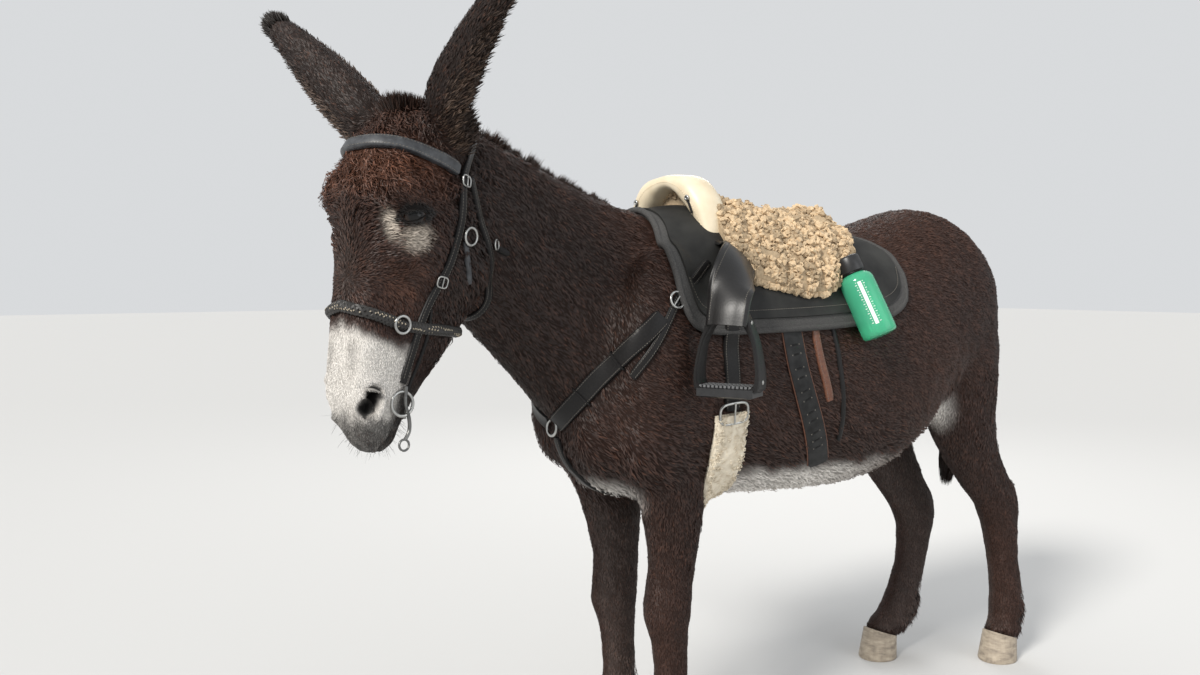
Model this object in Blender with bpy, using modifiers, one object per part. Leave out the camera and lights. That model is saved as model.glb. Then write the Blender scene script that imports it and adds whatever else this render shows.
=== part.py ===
"""A mammoth donkey, life size and still, standing in its riding tack.

The donkey faces -Y, its left side is +X and the floor is z = 0. Sizes are in metres.
"""

import math
import random

import bmesh
import bpy
import numpy as np
from mathutils import Matrix, Vector
from mathutils.bvhtree import BVHTree

# Driving dimensions
GAP = 0.0004
WELD = 0.00002
CUT_TRIES = (("MANIFOLD", WELD), ("MANIFOLD", WELD / 10), ("EXACT", WELD), ("EXACT", WELD / 10))
FLESH_VOXEL = 0.010
HEAD_TRIANGLES = 1200
BODY_TRIANGLES = 3160
HOOF_HEIGHT = 0.082
HOOF_SPREAD = 1.16
MIRROR_SPARE = 0.03
EAR_CUP = 1.65
EAR_LENGTH = 0.490
EYE_RADIUS = 0.0235
EYE_OPENING = (0.0195, 0.0085, 0.020)
NOSTRIL_AT = (0.058, 0.597, -0.030)
NOSTRIL = (0.013, 0.024, 0.020)
MOUTH_WIDE = 0.0035
MOUTH_DEEP = 0.009
PAD_THICK = 0.016
SEAT_THICK = 0.034
CINCH_WIDE = 0.100
CINCH_THICK = 0.020
LATIGO_WIDE = 0.045
LATIGO_THICK = 0.008
RING_POINTS = 28

# The head hangs from its crown: where that is, and which way the face runs and looks.
CROWN = Vector((0.115, -0.724, 1.614))
DOWN_FACE = Vector((0.082, -0.195, -0.977)).normalized()
FACE_LOOKS = Vector((0.240, -0.948, 0.209))
FACE_OUT = (FACE_LOOKS - FACE_LOOKS.dot(DOWN_FACE) * DOWN_FACE).normalized()
HEAD_LEFT = FACE_OUT.cross(DOWN_FACE).normalized()


def clear_scene():
    for obj in list(bpy.data.objects):
        bpy.data.objects.remove(obj)


def collection(name, shown=True):
    group = bpy.data.collections.new(name)
    bpy.context.scene.collection.children.link(group)
    group.hide_render = not shown
    return group


def material(name, colour, roughness=0.8, metallic=0.0):
    made = bpy.data.materials.new(name)
    made.use_nodes = True
    shader = made.node_tree.nodes["Principled BSDF"]
    shader.inputs["Base Color"].default_value = (*colour, 1.0)
    shader.inputs["Roughness"].default_value = roughness
    shader.inputs["Metallic"].default_value = metallic
    return made


def head_point(left, down, out):
    """A point of the head: left of its middle, down the face from the crown, and out from the face line."""
    return CROWN + HEAD_LEFT * left + DOWN_FACE * down + FACE_OUT * out


def curve(a, b, c, d, t):
    """A smooth course from b to c, with a before and d after them."""
    return 0.5 * (2 * b + (c - a) * t + (2 * a - 5 * b + 4 * c - d) * t**2 + (3 * b - a - 3 * c + d) * t**3)


def smooth_stations(stations, steps):
    """Rows of numbers, with steps - 1 rows put between each two by a Catmull-Rom curve."""
    rows = np.array(stations, float)
    padded = np.vstack([2 * rows[0] - rows[1], rows, 2 * rows[-1] - rows[-2]])
    found = []
    for a, b, c, d in zip(padded, padded[1:], padded[2:], padded[3:]):
        for i in range(steps):
            t = i / steps
            found.append(curve(a, b, c, d, t))
    found.append(rows[-1])
    return found


def power(value, squareness):
    return math.copysign(abs(value) ** (2 / squareness), value)


def oval(centre, across, up, half_across, half_up, half_down, squareness=2.0, count=RING_POINTS):
    """A ring of points, wider or squarer than a circle, whose upper and lower halves may differ."""
    centre, across, up = Vector(centre), Vector(across), Vector(up)
    points = []
    for i in range(count):
        turn = 2 * math.pi * i / count
        rise = power(math.sin(turn), squareness)
        height = half_up if rise > 0 else half_down
        reach = half_across * power(math.cos(turn), squareness)
        points.append(centre + across * reach + up * height * rise)
    return points


def outward(mesh):
    """Turns every face of a closed surface to the outside."""
    bmesh.ops.recalc_face_normals(mesh, faces=mesh.faces)
    if mesh.calc_volume(signed=True) < 0:
        bmesh.ops.reverse_faces(mesh, faces=mesh.faces)


def mesh_object(name, mesh, group):
    data = bpy.data.meshes.new(name)
    outward(mesh)
    mesh.to_mesh(data)
    mesh.free()
    obj = bpy.data.objects.new(name, data)
    group.objects.link(obj)
    return obj


def loft(name, rings, group):
    """A closed body through rings of equal length."""
    mesh = bmesh.new()
    rows = [[mesh.verts.new(point) for point in ring] for ring in rings]
    for near, far in zip(rows, rows[1:]):
        for i in range(len(near)):
            j = (i + 1) % len(near)
            mesh.faces.new((near[i], near[j], far[j], far[i]))
    mesh.faces.new(rows[0])
    mesh.faces.new(rows[-1])
    return mesh_object(name, mesh, group)


def ball(name, centre, radii, axes, group, segments=20, rings=12):
    """An ellipsoid with these half sizes along three axes."""
    mesh = bmesh.new()
    bmesh.ops.create_uvsphere(mesh, u_segments=segments, v_segments=rings, radius=1.0)
    x, y, z = (Vector(axis).normalized() * radius for axis, radius in zip(axes, radii))
    turn = Matrix((x, y, z)).transposed().to_4x4()
    bmesh.ops.transform(mesh, matrix=Matrix.Translation(Vector(centre)) @ turn, verts=mesh.verts)
    return mesh_object(name, mesh, group)


WORLD_AXES = ((1, 0, 0), (0, 1, 0), (0, 0, 1))
HEAD_AXES = (HEAD_LEFT, DOWN_FACE, FACE_OUT)


# Flesh: station rows of the torso, along its length from breast to buttock.
# y, top, widest height, bottom, half width
TORSO = (
    (-0.215, 1.06, 0.97, 0.89, 0.06),
    (-0.185, 1.16, 0.97, 0.82, 0.135),
    (-0.10, 1.28, 1.00, 0.745, 0.20),
    (0.02, 1.41, 1.02, 0.715, 0.235),
    (0.16, 1.45, 1.01, 0.700, 0.255),
    (0.34, 1.425, 1.00, 0.690, 0.29),
    (0.56, 1.40, 0.98, 0.675, 0.318),
    (0.76, 1.41, 0.98, 0.680, 0.322),
    (0.94, 1.455, 1.04, 0.740, 0.30),
    (1.10, 1.495, 1.12, 0.84, 0.265),
    (1.24, 1.475, 1.15, 0.93, 0.24),
    (1.36, 1.40, 1.15, 0.99, 0.19),
    (1.42, 1.30, 1.15, 1.04, 0.11),
)

# centre x, y, z, half height, half width
NECK = (
    (0.000, 0.06, 1.10, 0.330, 0.185),
    (0.000, -0.10, 1.19, 0.285, 0.145),
    (0.010, -0.24, 1.27, 0.240, 0.112),
    (0.030, -0.37, 1.345, 0.210, 0.095),
    (0.060, -0.49, 1.41, 0.185, 0.088),
    (0.085, -0.58, 1.465, 0.155, 0.085),
    (0.100, -0.64, 1.50, 0.120, 0.070),
)

# down the face, front, back, half width in front, at the middle and at the back
HEAD = (
    (-0.040, -0.080, -0.140, 0.030, 0.045, 0.030),
    (-0.010, -0.040, -0.190, 0.065, 0.092, 0.060),
    (0.050, -0.005, -0.245, 0.085, 0.112, 0.070),
    (0.120, 0.028, -0.290, 0.098, 0.122, 0.070),
    (0.190, 0.036, -0.320, 0.094, 0.120, 0.072),
    (0.260, 0.026, -0.330, 0.078, 0.104, 0.070),
    (0.340, 0.016, -0.312, 0.069, 0.088, 0.060),
    (0.420, 0.010, -0.275, 0.066, 0.078, 0.050),
    (0.500, 0.002, -0.225, 0.065, 0.073, 0.042),
    (0.570, -0.006, -0.180, 0.063, 0.070, 0.040),
    (0.620, -0.024, -0.155, 0.054, 0.064, 0.040),
    (0.655, -0.042, -0.142, 0.042, 0.056, 0.038),
    (0.680, -0.066, -0.118, 0.022, 0.030, 0.022),
)

# x, y, z, half side, half fore and aft
FORELEG = (
    (0.135, 0.010, 0.98, 0.080, 0.120),
    (0.128, 0.035, 0.84, 0.080, 0.118),
    (0.112, 0.065, 0.72, 0.064, 0.098),
    (0.100, 0.075, 0.58, 0.054, 0.070),
    (0.094, 0.068, 0.49, 0.055, 0.064),
    (0.092, 0.062, 0.42, 0.058, 0.066),
    (0.091, 0.072, 0.36, 0.046, 0.052),
    (0.090, 0.078, 0.26, 0.040, 0.047),
    (0.090, 0.080, 0.18, 0.045, 0.054),
    (0.090, 0.070, 0.145, 0.046, 0.056),
    (0.090, 0.052, 0.105, 0.042, 0.046),
    (0.090, 0.040, 0.080, 0.050, 0.054),
    (0.090, 0.036, 0.060, 0.050, 0.054),
)
RIGHT_FORE_BACK = -0.030

HINDLEG_LEFT = (
    (0.122, 1.18, 1.20, 0.112, 0.180),
    (0.138, 1.20, 1.05, 0.105, 0.185),
    (0.145, 1.22, 0.93, 0.092, 0.165),
    (0.146, 1.255, 0.80, 0.078, 0.128),
    (0.144, 1.325, 0.68, 0.064, 0.094),
    (0.143, 1.410, 0.585, 0.058, 0.078),
    (0.143, 1.455, 0.520, 0.060, 0.080),
    (0.143, 1.470, 0.450, 0.053, 0.066),
    (0.143, 1.490, 0.340, 0.047, 0.056),
    (0.143, 1.512, 0.230, 0.049, 0.060),
    (0.143, 1.520, 0.170, 0.053, 0.068),
    (0.143, 1.508, 0.118, 0.050, 0.056),
    (0.143, 1.494, 0.085, 0.055, 0.060),
    (0.143, 1.488, 0.050, 0.055, 0.060),
)

HINDLEG_RIGHT = (
    (-0.122, 1.17, 1.20, 0.112, 0.180),
    (-0.138, 1.16, 1.05, 0.105, 0.185),
    (-0.145, 1.15, 0.90, 0.092, 0.165),
    (-0.140, 1.185, 0.77, 0.078, 0.130),
    (-0.128, 1.255, 0.64, 0.064, 0.098),
    (-0.118, 1.325, 0.535, 0.058, 0.082),
    (-0.114, 1.360, 0.465, 0.060, 0.084),
    (-0.112, 1.355, 0.400, 0.053, 0.068),
    (-0.110, 1.335, 0.300, 0.047, 0.058),
    (-0.110, 1.305, 0.215, 0.049, 0.062),
    (-0.110, 1.285, 0.165, 0.053, 0.070),
    (-0.110, 1.236, 0.115, 0.051, 0.057),
    (-0.110, 1.195, 0.085, 0.055, 0.060),
    (-0.110, 1.180, 0.050, 0.055, 0.060),
)
TAIL = (
    (0.000, 1.34, 1.405, 0.042, 0.042),
    (0.000, 1.425, 1.375, 0.038, 0.038),
    (-0.002, 1.480, 1.29, 0.033, 0.033),
    (-0.008, 1.505, 1.17, 0.030, 0.030),
    (-0.016, 1.510, 1.04, 0.028, 0.028),
    (-0.026, 1.502, 0.92, 0.026, 0.026),
    (-0.034, 1.492, 0.84, 0.020, 0.020),
)
POINT_OF_HOCK_BACK = 0.062
POINT_OF_HOCK_UP = 0.045
POINT_OF_HOCK = (0.026, 0.026, 0.05)

# Muscles that round the body out on both sides: name, centre and half sizes
BODY_BALLS = (
    ("shoulder", (0.150, -0.01, 1.08), (0.098, 0.15, 0.27)),
    ("upper_arm", (0.148, -0.03, 0.90), (0.085, 0.12, 0.14)),
    ("breast", (0.075, -0.125, 0.93), (0.085, 0.10, 0.14)),
    ("haunch", (0.130, 1.17, 1.18), (0.115, 0.215, 0.24)),
)

# Rounded forms of the head: name, place as left, down and out, and half sizes
PAIRED_HEAD_BALLS = (
    ("cheek", (0.070, 0.255, -0.215), (0.036, 0.105, 0.090)),
    ("brow", (0.098, 0.165, -0.012), (0.036, 0.050, 0.042)),
    ("eye_mount", (0.096, 0.218, -0.060), (0.034, 0.040, 0.040)),
    ("below_eye", (0.082, 0.280, -0.050), (0.024, 0.060, 0.034)),
    ("nostril_wing", (0.050, 0.600, -0.040), (0.022, 0.042, 0.028)),
    ("ear_root", (0.088, 0.020, -0.100), (0.050, 0.045, 0.055)),
)
MIDDLE_HEAD_BALLS = (
    ("forehead", (0.0, 0.125, -0.010), (0.085, 0.090, 0.050)),
    ("upper_lip", (0.0, 0.645, -0.058), (0.048, 0.032, 0.036)),
    ("chin", (0.0, 0.640, -0.128), (0.036, 0.036, 0.028)),
)


# How the body is parted
HEAD_OVERLAP = 0.03
HEAD_CUT_BEHIND = -0.262
HEAD_CUT_LEAN = 0.14
HEAD_CUT_AXES = (
    (DOWN_FACE - FACE_OUT * HEAD_CUT_LEAN).normalized(),
    (FACE_OUT + DOWN_FACE * HEAD_CUT_LEAN).normalized(),
)
NECK_CUT = Vector((0.0, 0.0, 1.22))
TAIL_CUT = 1.44
FORE_CUT_IN = 0.008
FORE_CUT_Z = 0.66
FORE_CUT_SLOPE = 32
HIND_CUT_IN = 0.006
HIND_CUT_Z = 0.80
HIND_CUT_SLOPE = 38
RIGHT_HIND_BACK = -0.02
CORONET_FALL = 0.35
HOOF_POINTS = 14
HOOF_TOE_REACH = 0.012
HOOVES = {
    "fore_left": (0.090, 0.034),
    "fore_right": (-0.090, 0.004),
    "hind_left": (0.143, 1.488),
    "hind_right": (-0.110, 1.182),
}
LEG_OF = {
    "fore_left": "foreleg_left",
    "fore_right": "foreleg_right",
    "hind_left": "hindleg_left",
    "hind_right": "hindleg_right",
}

# The eye sits this far left, down the face and out
EYE_OUT = 0.101
EYE_DOWN = 0.216
EYE_FRONT = -0.052
LID = 0.0045
MOUTH = (
    (0.064, 0.585, -0.108),
    (0.060, 0.615, -0.104),
    (0.048, 0.645, -0.100),
    (0.026, 0.668, -0.096),
    (0.000, 0.678, -0.094),
)

# Ear sections: share of the length, half width, depth of the back, depth of the cup as a share of that
EAR = (
    (-0.05, 0.036, 0.040, -0.50),
    (0.05, 0.047, 0.046, -0.40),
    (0.13, 0.056, 0.052, 0.25),
    (0.25, 0.058, 0.052, 0.62),
    (0.42, 0.055, 0.044, 0.66),
    (0.58, 0.048, 0.036, 0.64),
    (0.74, 0.039, 0.029, 0.60),
    (0.88, 0.031, 0.022, 0.50),
    (0.96, 0.020, 0.015, 0.20),
    (1.00, 0.007, 0.007, -0.50),
)
EAR_POINTS = 7
EAR_WALL_SHARE = 0.86
EAR_ROOT = {1: 0.094, -1: -0.084}
EAR_LEAN = {1: (0.290, 0.045), -1: (0.330, 0.030)}
EAR_BEND = 0.05

# Top line of the neck from the poll to the withers, and the hair on it
CREST = (
    (0.090, -0.565, 1.592),
    (0.070, -0.500, 1.578),
    (0.042, -0.400, 1.545),
    (0.018, -0.280, 1.500),
    (0.004, -0.160, 1.463),
    (0.000, -0.050, 1.442),
)
LONG_LOCK = ((0.0, 0.75), (0.38, 1.0), (0.76, 0.66), (1.0, 0.10))
SHORT_LOCK = ((0.0, 0.90), (0.52, 1.0), (1.0, 0.14))
MANE_SEED = 11
MANE_LOCKS = 21
MANE_REACH = 0.90
MANE_LENGTH = 0.052
MANE_SINK = 0.026
MANE_WIDE = 0.046
MANE_THICK = 0.022
FORELOCK_SEED = 5
FORELOCK_ROOT = (0.0, -0.012, -0.080)
FORELOCK_LOCKS = 7
FORELOCK_LENGTH = 0.052
FORELOCK_WIDE = 0.034
FORELOCK_THICK = 0.016
SWITCH_SEED = 3
SWITCH_TIP = (-0.060, 1.455, 0.548)
SWITCH_ROWS = ((1.02, 0.30), (0.94, 0.32), (0.865, 0.317))
SWITCH_AROUND = 4
SWITCH_FLARE = 0.16
SWITCH_WIDE = 0.044
SWITCH_THICK = 0.018

# Covers over the back: y, and how far down the left and the right they reach, in degrees from upright
SADDLE_AXIS_Z = 1.05
PAD = (
    (0.000, 40, 40),
    (0.030, 62, 62),
    (0.110, 68, 68),
    (0.220, 70, 70),
    (0.340, 71, 71),
    (0.460, 70, 70),
    (0.580, 68, 68),
    (0.690, 63, 63),
    (0.760, 52, 52),
    (0.790, 36, 36),
)
SEAT = (
    (0.170, 42, 42),
    (0.215, 48, 48),
    (0.290, 51, 51),
    (0.370, 56, 56),
    (0.440, 56, 56),
    (0.510, 48, 48),
    (0.570, 36, 36),
    (0.610, 26, 26),
)
FORK = (
    (0.155, 0.172, 1.325, 0.030, 0.012),
    (0.145, 0.172, 1.390, 0.040, 0.018),
    (0.115, 0.168, 1.455, 0.048, 0.034),
    (0.075, 0.164, 1.500, 0.050, 0.036),
    (0.035, 0.162, 1.518, 0.044, 0.023),
    (0.000, 0.162, 1.524, 0.042, 0.019),
)
FENDER_THICK = 0.007
FENDER_WIDE = (0.10, 0.125, 0.120, 0.085, 0.060)
FENDER = (
    (0.180, 0.190, 1.345),
    (0.232, 0.165, 1.300),
    (0.275, 0.135, 1.255),
    (0.310, 0.095, 1.225),
    (0.343, 0.052, 1.214),
)
STIRRUP_AT = (0.345, 0.035, 1.008)
STIRRUP_TURN = (0.906, 0.423)
STIRRUP_LOOP = (
    (-0.078, 0.000, 0.066, -0.012, -0.016),
    (-0.080, 0.050, 0.060, -0.009, 0.000),
    (-0.068, 0.125, 0.046, -0.009, 0.003),
    (-0.036, 0.203, 0.040, -0.008, 0.030),
    (0.036, 0.203, 0.040, 0.008, 0.030),
    (0.068, 0.125, 0.046, 0.009, 0.003),
    (0.080, 0.050, 0.060, 0.009, 0.000),
    (0.078, 0.000, 0.066, 0.012, -0.016),
)
BILLET_ROUTE = (
    (0.245, 0.318, 1.235),
    (0.284, 0.318, 1.100),
    (0.292, 0.350, 0.980),
    (0.272, 0.410, 0.860),
    (0.238, 0.458, 0.785),
)
BROWN_ROUTE = (
    (0.262, 0.395, 1.215),
    (0.290, 0.395, 1.100),
    (0.300, 0.415, 1.020),
    (0.301, 0.432, 0.960),
)
THONG_ROUTE = (
    (0.280, 0.452, 1.170),
    (0.300, 0.465, 1.050),
    (0.300, 0.478, 0.950),
    (0.283, 0.488, 0.850),
)
SIDE_STRAPS = (
    ("billet", BILLET_ROUTE, 0.062, 0.006),
    ("brown_strap", BROWN_ROUTE, 0.024, 0.005),
    ("thong", THONG_ROUTE, 0.009, 0.004),
)
CINCH = (
    (0.0, 0.180, 0.70),
    (0.110, 0.172, 0.72),
    (0.180, 0.160, 0.78),
    (0.225, 0.146, 0.86),
    (0.240, 0.135, 0.945),
)
LATIGO = (
    (0.250, 0.130, 1.190),
    (0.265, 0.130, 1.100),
    (0.267, 0.132, 1.020),
    (0.264, 0.134, 0.950),
)
BOTTLE_CAP_END = (0.270, 0.520, 1.330)
BOTTLE_FOOT = (0.358, 0.560, 1.125)
BOTTLE = (
    (0.20, 0.022),
    (0.24, 0.034),
    (0.30, 0.044),
    (0.36, 0.046),
    (0.94, 0.046),
    (0.99, 0.043),
    (1.0, 0.036),
)
BOTTLE_CAP = ((0.0, 0.022), (0.03, 0.027), (0.17, 0.028), (0.196, 0.028))

# Breast collar
CHEST_RING = (0.0, -0.226, 0.912)
BREAST = (
    (0.018, -0.218, 0.925),
    (0.075, -0.21, 0.972),
    (0.133, -0.179, 1.043),
    (0.195, -0.13, 1.115),
    (0.226, -0.07, 1.185),
)
TUG = (
    (0.200, -0.134, 1.045),
    (0.224, -0.075, 1.140),
    (0.232, -0.020, 1.232),
    (0.216, 0.050, 1.283),
    (0.200, 0.095, 1.312),
)
TUG_BUCKLE = (0.230, -0.030, 1.222)
BELLY = (
    (0.0, -0.222, 0.885),
    (0.0, -0.190, 0.80),
    (0.0, -0.100, 0.735),
    (0.0, 0.020, 0.715),
    (0.0, 0.130, 0.700),
)

# Widths and thicknesses of the collar's and the bridle's straps
BREAST_STRAP = (0.046, 0.007)
TUG_STRAP = (0.024, 0.006)
BELLY_STRAP = (0.024, 0.006)
BROW_STRAP = (0.028, 0.006)
NOSE_STRAP = (0.020, 0.009)
CHEEK_STRAP = (0.022, 0.006)
THROAT_STRAP = (0.018, 0.005)
CURB_STRAP = (0.014, 0.006)
COLLAR_RING = (0.020, 0.0035)
COLLAR_BUCKLE = (0.019, 0.0035)
COLLAR_BUCKLE_LIFT = 0.017

# Bridle, in the head's own left, down and out
BROWBAND = (
    (-0.124, 0.100, -0.135),
    (-0.112, 0.085, -0.050),
    (-0.060, 0.078, 0.020),
    (0.000, 0.084, 0.036),
    (0.060, 0.078, 0.020),
    (0.112, 0.085, -0.050),
    (0.124, 0.100, -0.135),
)
NOSEBAND = (
    (0.000, 0.405, 0.010),
    (0.060, 0.418, -0.020),
    (0.078, 0.428, -0.090),
    (0.070, 0.420, -0.180),
    (0.040, 0.410, -0.250),
    (0.000, 0.408, -0.285),
    (-0.040, 0.410, -0.250),
    (-0.070, 0.420, -0.180),
    (-0.078, 0.428, -0.090),
    (-0.060, 0.418, -0.020),
    (0.000, 0.405, 0.010),
)
CHEEK = (
    (0.040, -0.010, -0.215),
    (0.085, 0.035, -0.190),
    (0.118, 0.105, -0.155),
    (0.120, 0.200, -0.165),
    (0.108, 0.300, -0.160),
    (0.086, 0.390, -0.130),
    (0.072, 0.480, -0.115),
    (0.066, 0.540, -0.105),
)
THROAT = (
    (0.110, 0.100, -0.185),
    (0.104, 0.180, -0.235),
    (0.096, 0.260, -0.290),
    (0.070, 0.320, -0.325),
    (0.020, 0.350, -0.335),
)
HEAD_RINGS = (
    ("nose_ring", (0.078, 0.428, -0.075), 0.017, 0.0032, 0.014),
    ("cheek_ring", (0.118, 0.224, -0.195), 0.018, 0.0030, 0.012),
    ("bit_ring", (0.068, 0.580, -0.110), 0.024, 0.0034, 0.012),
)
CURB = (
    (0.064, 0.590, -0.128),
    (0.050, 0.600, -0.150),
    (0.0, 0.610, -0.170),
    (-0.050, 0.600, -0.150),
    (-0.064, 0.590, -0.128),
)

# Finishes: part of a name, then label, colour, roughness and metallic value
FINISHES = (
    ("hoof", ("hoof_horn", (0.42, 0.36, 0.27), 0.55, 0.0)),
    ("eye", ("eye", (0.02, 0.013, 0.01), 0.12, 0.0)),
    ("ear", ("dark_coat", (0.045, 0.024, 0.017), 0.9, 0.0)),
    ("leg", ("leg_coat", (0.075, 0.040, 0.027), 0.9, 0.0)),
    ("tail", ("dark_coat", (0.045, 0.024, 0.017), 0.9, 0.0)),
    ("head", ("coat", (0.070, 0.033, 0.022), 0.9, 0.0)),
    ("neck", ("coat", (0.070, 0.033, 0.022), 0.9, 0.0)),
    ("torso", ("coat", (0.070, 0.033, 0.022), 0.9, 0.0)),
    ("fleece", ("fleece", (0.62, 0.50, 0.34), 0.95, 0.0)),
    ("cinch", ("cinch_fleece", (0.72, 0.64, 0.48), 0.95, 0.0)),
    ("fork", ("cream_hide", (0.80, 0.72, 0.55), 0.5, 0.0)),
    ("pad", ("pad_felt", (0.055, 0.055, 0.055), 0.85, 0.0)),
    ("brown", ("brown_leather", (0.09, 0.035, 0.018), 0.6, 0.0)),
    ("bottle_cap", ("black_plastic", (0.015, 0.015, 0.016), 0.4, 0.0)),
    ("bottle", ("green_bottle", (0.03, 0.36, 0.22), 0.2, 0.0)),
    ("ring", ("nickel", (0.60, 0.58, 0.54), 0.3, 1.0)),
    ("buckle", ("nickel", (0.60, 0.58, 0.54), 0.3, 1.0)),
    ("", ("black_leather", (0.018, 0.017, 0.017), 0.45, 0.0)),
)


def torso(group):
    rings = [
        oval((0, y, wide), (1, 0, 0), (0, 0, 1), half, top - wide, wide - bottom, 2.15)
        for y, top, wide, bottom, half in smooth_stations(TORSO, 3)
    ]
    return loft("torso_mass", rings, group)


def tube(name, stations, side, group, squareness=2.1):
    """A limb through stations, its rings square to the way it runs."""
    rows = smooth_stations(stations, 2)
    centres = [Vector(row[:3]) for row in rows]
    rings = []
    for i, row in enumerate(rows):
        way = (centres[min(i + 1, len(rows) - 1)] - centres[max(i - 1, 0)]).normalized()
        fore = way.cross(Vector(side)).normalized()
        across = fore.cross(way).normalized()
        rings.append(oval(centres[i], across, fore, row[3], row[4], row[4], squareness))
    return loft(name, rings, group)


def neck(group):
    stations = [(x, y, z, wide, high) for x, y, z, high, wide in NECK]
    return tube("neck_mass", stations, (1, 0, 0), group)


def head_ring(down, front, back, front_half, middle_half, back_half):
    """A section of the head: a flat face in front, cheeks at the middle and a narrower jaw behind."""
    depth = front - back
    corners = (
        (0.0, front),
        (front_half * 0.72, front - 0.02 * depth),
        (front_half, front - 0.12 * depth),
        (middle_half, front - 0.42 * depth),
        (0.5 * (middle_half + back_half) * 1.05, front - 0.72 * depth),
        (back_half * 0.85, back + 0.09 * depth),
        (0.0, back),
    )
    full = corners + tuple((-left, out) for left, out in corners[-2:0:-1])
    looped = full[-1:] + full + full[:2]
    points = []
    for a, b, c, d in zip(looped, looped[1:], looped[2:], looped[3:]):
        for t in (0.0, 0.5):
            left, out = (curve(p, q, r, s, t) for p, q, r, s in zip(a, b, c, d))
            points.append(head_point(left, down, out))
    return points


def head_masses(group):
    loft("head_mass", [head_ring(*row) for row in smooth_stations(HEAD, 3)], group)
    for side in (1, -1):
        for name, (left, down, out), radii in PAIRED_HEAD_BALLS:
            ball(name, head_point(side * left, down, out), radii, HEAD_AXES, group)
    for name, (left, down, out), radii in MIDDLE_HEAD_BALLS:
        ball(name, head_point(left, down, out), radii, HEAD_AXES, group)


def leg_masses(group):
    tube("foreleg_left_mass", FORELEG, (1, 0, 0), group)
    right = [(-x, y + RIGHT_FORE_BACK, z, side, fore) for x, y, z, side, fore in FORELEG]
    tube("foreleg_right_mass", right, (1, 0, 0), group)
    for stations in (HINDLEG_LEFT, HINDLEG_RIGHT):
        tube("hindleg_mass", stations, (1, 0, 0), group)
        hock = Vector(stations[6][:3])
        tip = hock + Vector((0, POINT_OF_HOCK_BACK, POINT_OF_HOCK_UP))
        ball("hock", tip, POINT_OF_HOCK, WORLD_AXES, group)
    for side in (1, -1):
        for name, (x, y, z), radii in BODY_BALLS:
            ball(name, (side * x, y, z), radii, WORLD_AXES, group)


def tail_mass(group):
    tube("tail_mass", TAIL, (1, 0, 0), group, 2.0)


def applied(obj):
    """The object's mesh with its modifiers worked in."""
    graph = bpy.context.evaluated_depsgraph_get()
    data = bpy.data.meshes.new_from_object(obj.evaluated_get(graph))
    obj.modifiers.clear()
    obj.data = data
    return obj


def joined(name, group, target):
    """All meshes of one collection as one mesh object of another."""
    mesh = bmesh.new()
    for obj in list(group.objects):
        mesh.from_mesh(obj.data)
        bpy.data.objects.remove(obj)
    return mesh_object(name, mesh, target)


def copied(name, obj, group):
    made = bpy.data.objects.new(name, obj.data.copy())
    group.objects.link(made)
    return made


def boolean(obj, other, operation, solver="MANIFOLD"):
    step = obj.modifiers.new("step", "BOOLEAN")
    step.operation = operation
    step.object = other
    step.solver = solver
    return applied(obj)


def span(shell):
    """The three sides of a shell's box, added up."""
    return sum(max(vert.co[i] for vert in shell) - min(vert.co[i] for vert in shell) for i in range(3))


def largest(obj, weld=WELD):
    """Keeps the largest closed surface of a mesh and drops the rest."""
    mesh = bmesh.new()
    mesh.from_mesh(obj.data)
    mesh.verts.ensure_lookup_table()
    seen = set()
    shells = []
    for start in mesh.verts:
        if start in seen:
            continue
        seen.add(start)
        shell, front = [start], [start]
        while front:
            for edge in front.pop().link_edges:
                for vert in edge.verts:
                    if vert not in seen:
                        seen.add(vert)
                        shell.append(vert)
                        front.append(vert)
        shells.append(shell)
    shells.sort(key=span)
    for shell in shells[:-1]:
        bmesh.ops.delete(mesh, geom=shell, context="VERTS")
    bmesh.ops.triangulate(mesh, faces=mesh.faces)
    bmesh.ops.remove_doubles(mesh, verts=mesh.verts, dist=weld)
    bmesh.ops.dissolve_degenerate(mesh, dist=weld, edges=mesh.edges)
    bmesh.ops.triangulate(mesh, faces=mesh.faces)
    outward(mesh)
    mesh.to_mesh(obj.data)
    mesh.free()
    return obj


def grown(obj, by, group):
    """A copy pushed out along its normals."""
    made = copied("grown", obj, group)
    made.display_type = "WIRE"
    mesh = bmesh.new()
    mesh.from_mesh(made.data)
    mesh.normal_update()
    moves = [(vert, vert.normal * by) for vert in mesh.verts]
    for vert, move in moves:
        vert.co += move
    mesh.to_mesh(made.data)
    mesh.free()
    return made


def clear_of(obj, others, cutters, gap=GAP):
    """Cuts a piece back to lie against its neighbours, a gap away."""
    for other in others:
        shape = grown(other, gap, cutters)
        kept = obj.data.copy()
        for solver, weld in CUT_TRIES:
            obj.data = kept.copy()
            largest(boolean(obj, shape, "DIFFERENCE", solver), weld)
            if closed(obj):
                break
        bpy.data.objects.remove(shape)
    return obj


def closed(obj):
    mesh = bmesh.new()
    mesh.from_mesh(obj.data)
    sound = len(mesh.faces) > 0 and all(edge.is_manifold for edge in mesh.edges)
    mesh.free()
    return sound


def box(name, centre, sizes, axes, group):
    """A box with these whole sizes along three axes."""
    mesh = bmesh.new()
    bmesh.ops.create_cube(mesh, size=1.0)
    x, y, z = (Vector(axis).normalized() * size for axis, size in zip(axes, sizes))
    turn = Matrix((x, y, z)).transposed().to_4x4()
    bmesh.ops.transform(mesh, matrix=Matrix.Translation(Vector(centre)) @ turn, verts=mesh.verts)
    return mesh_object(name, mesh, group)


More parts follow.
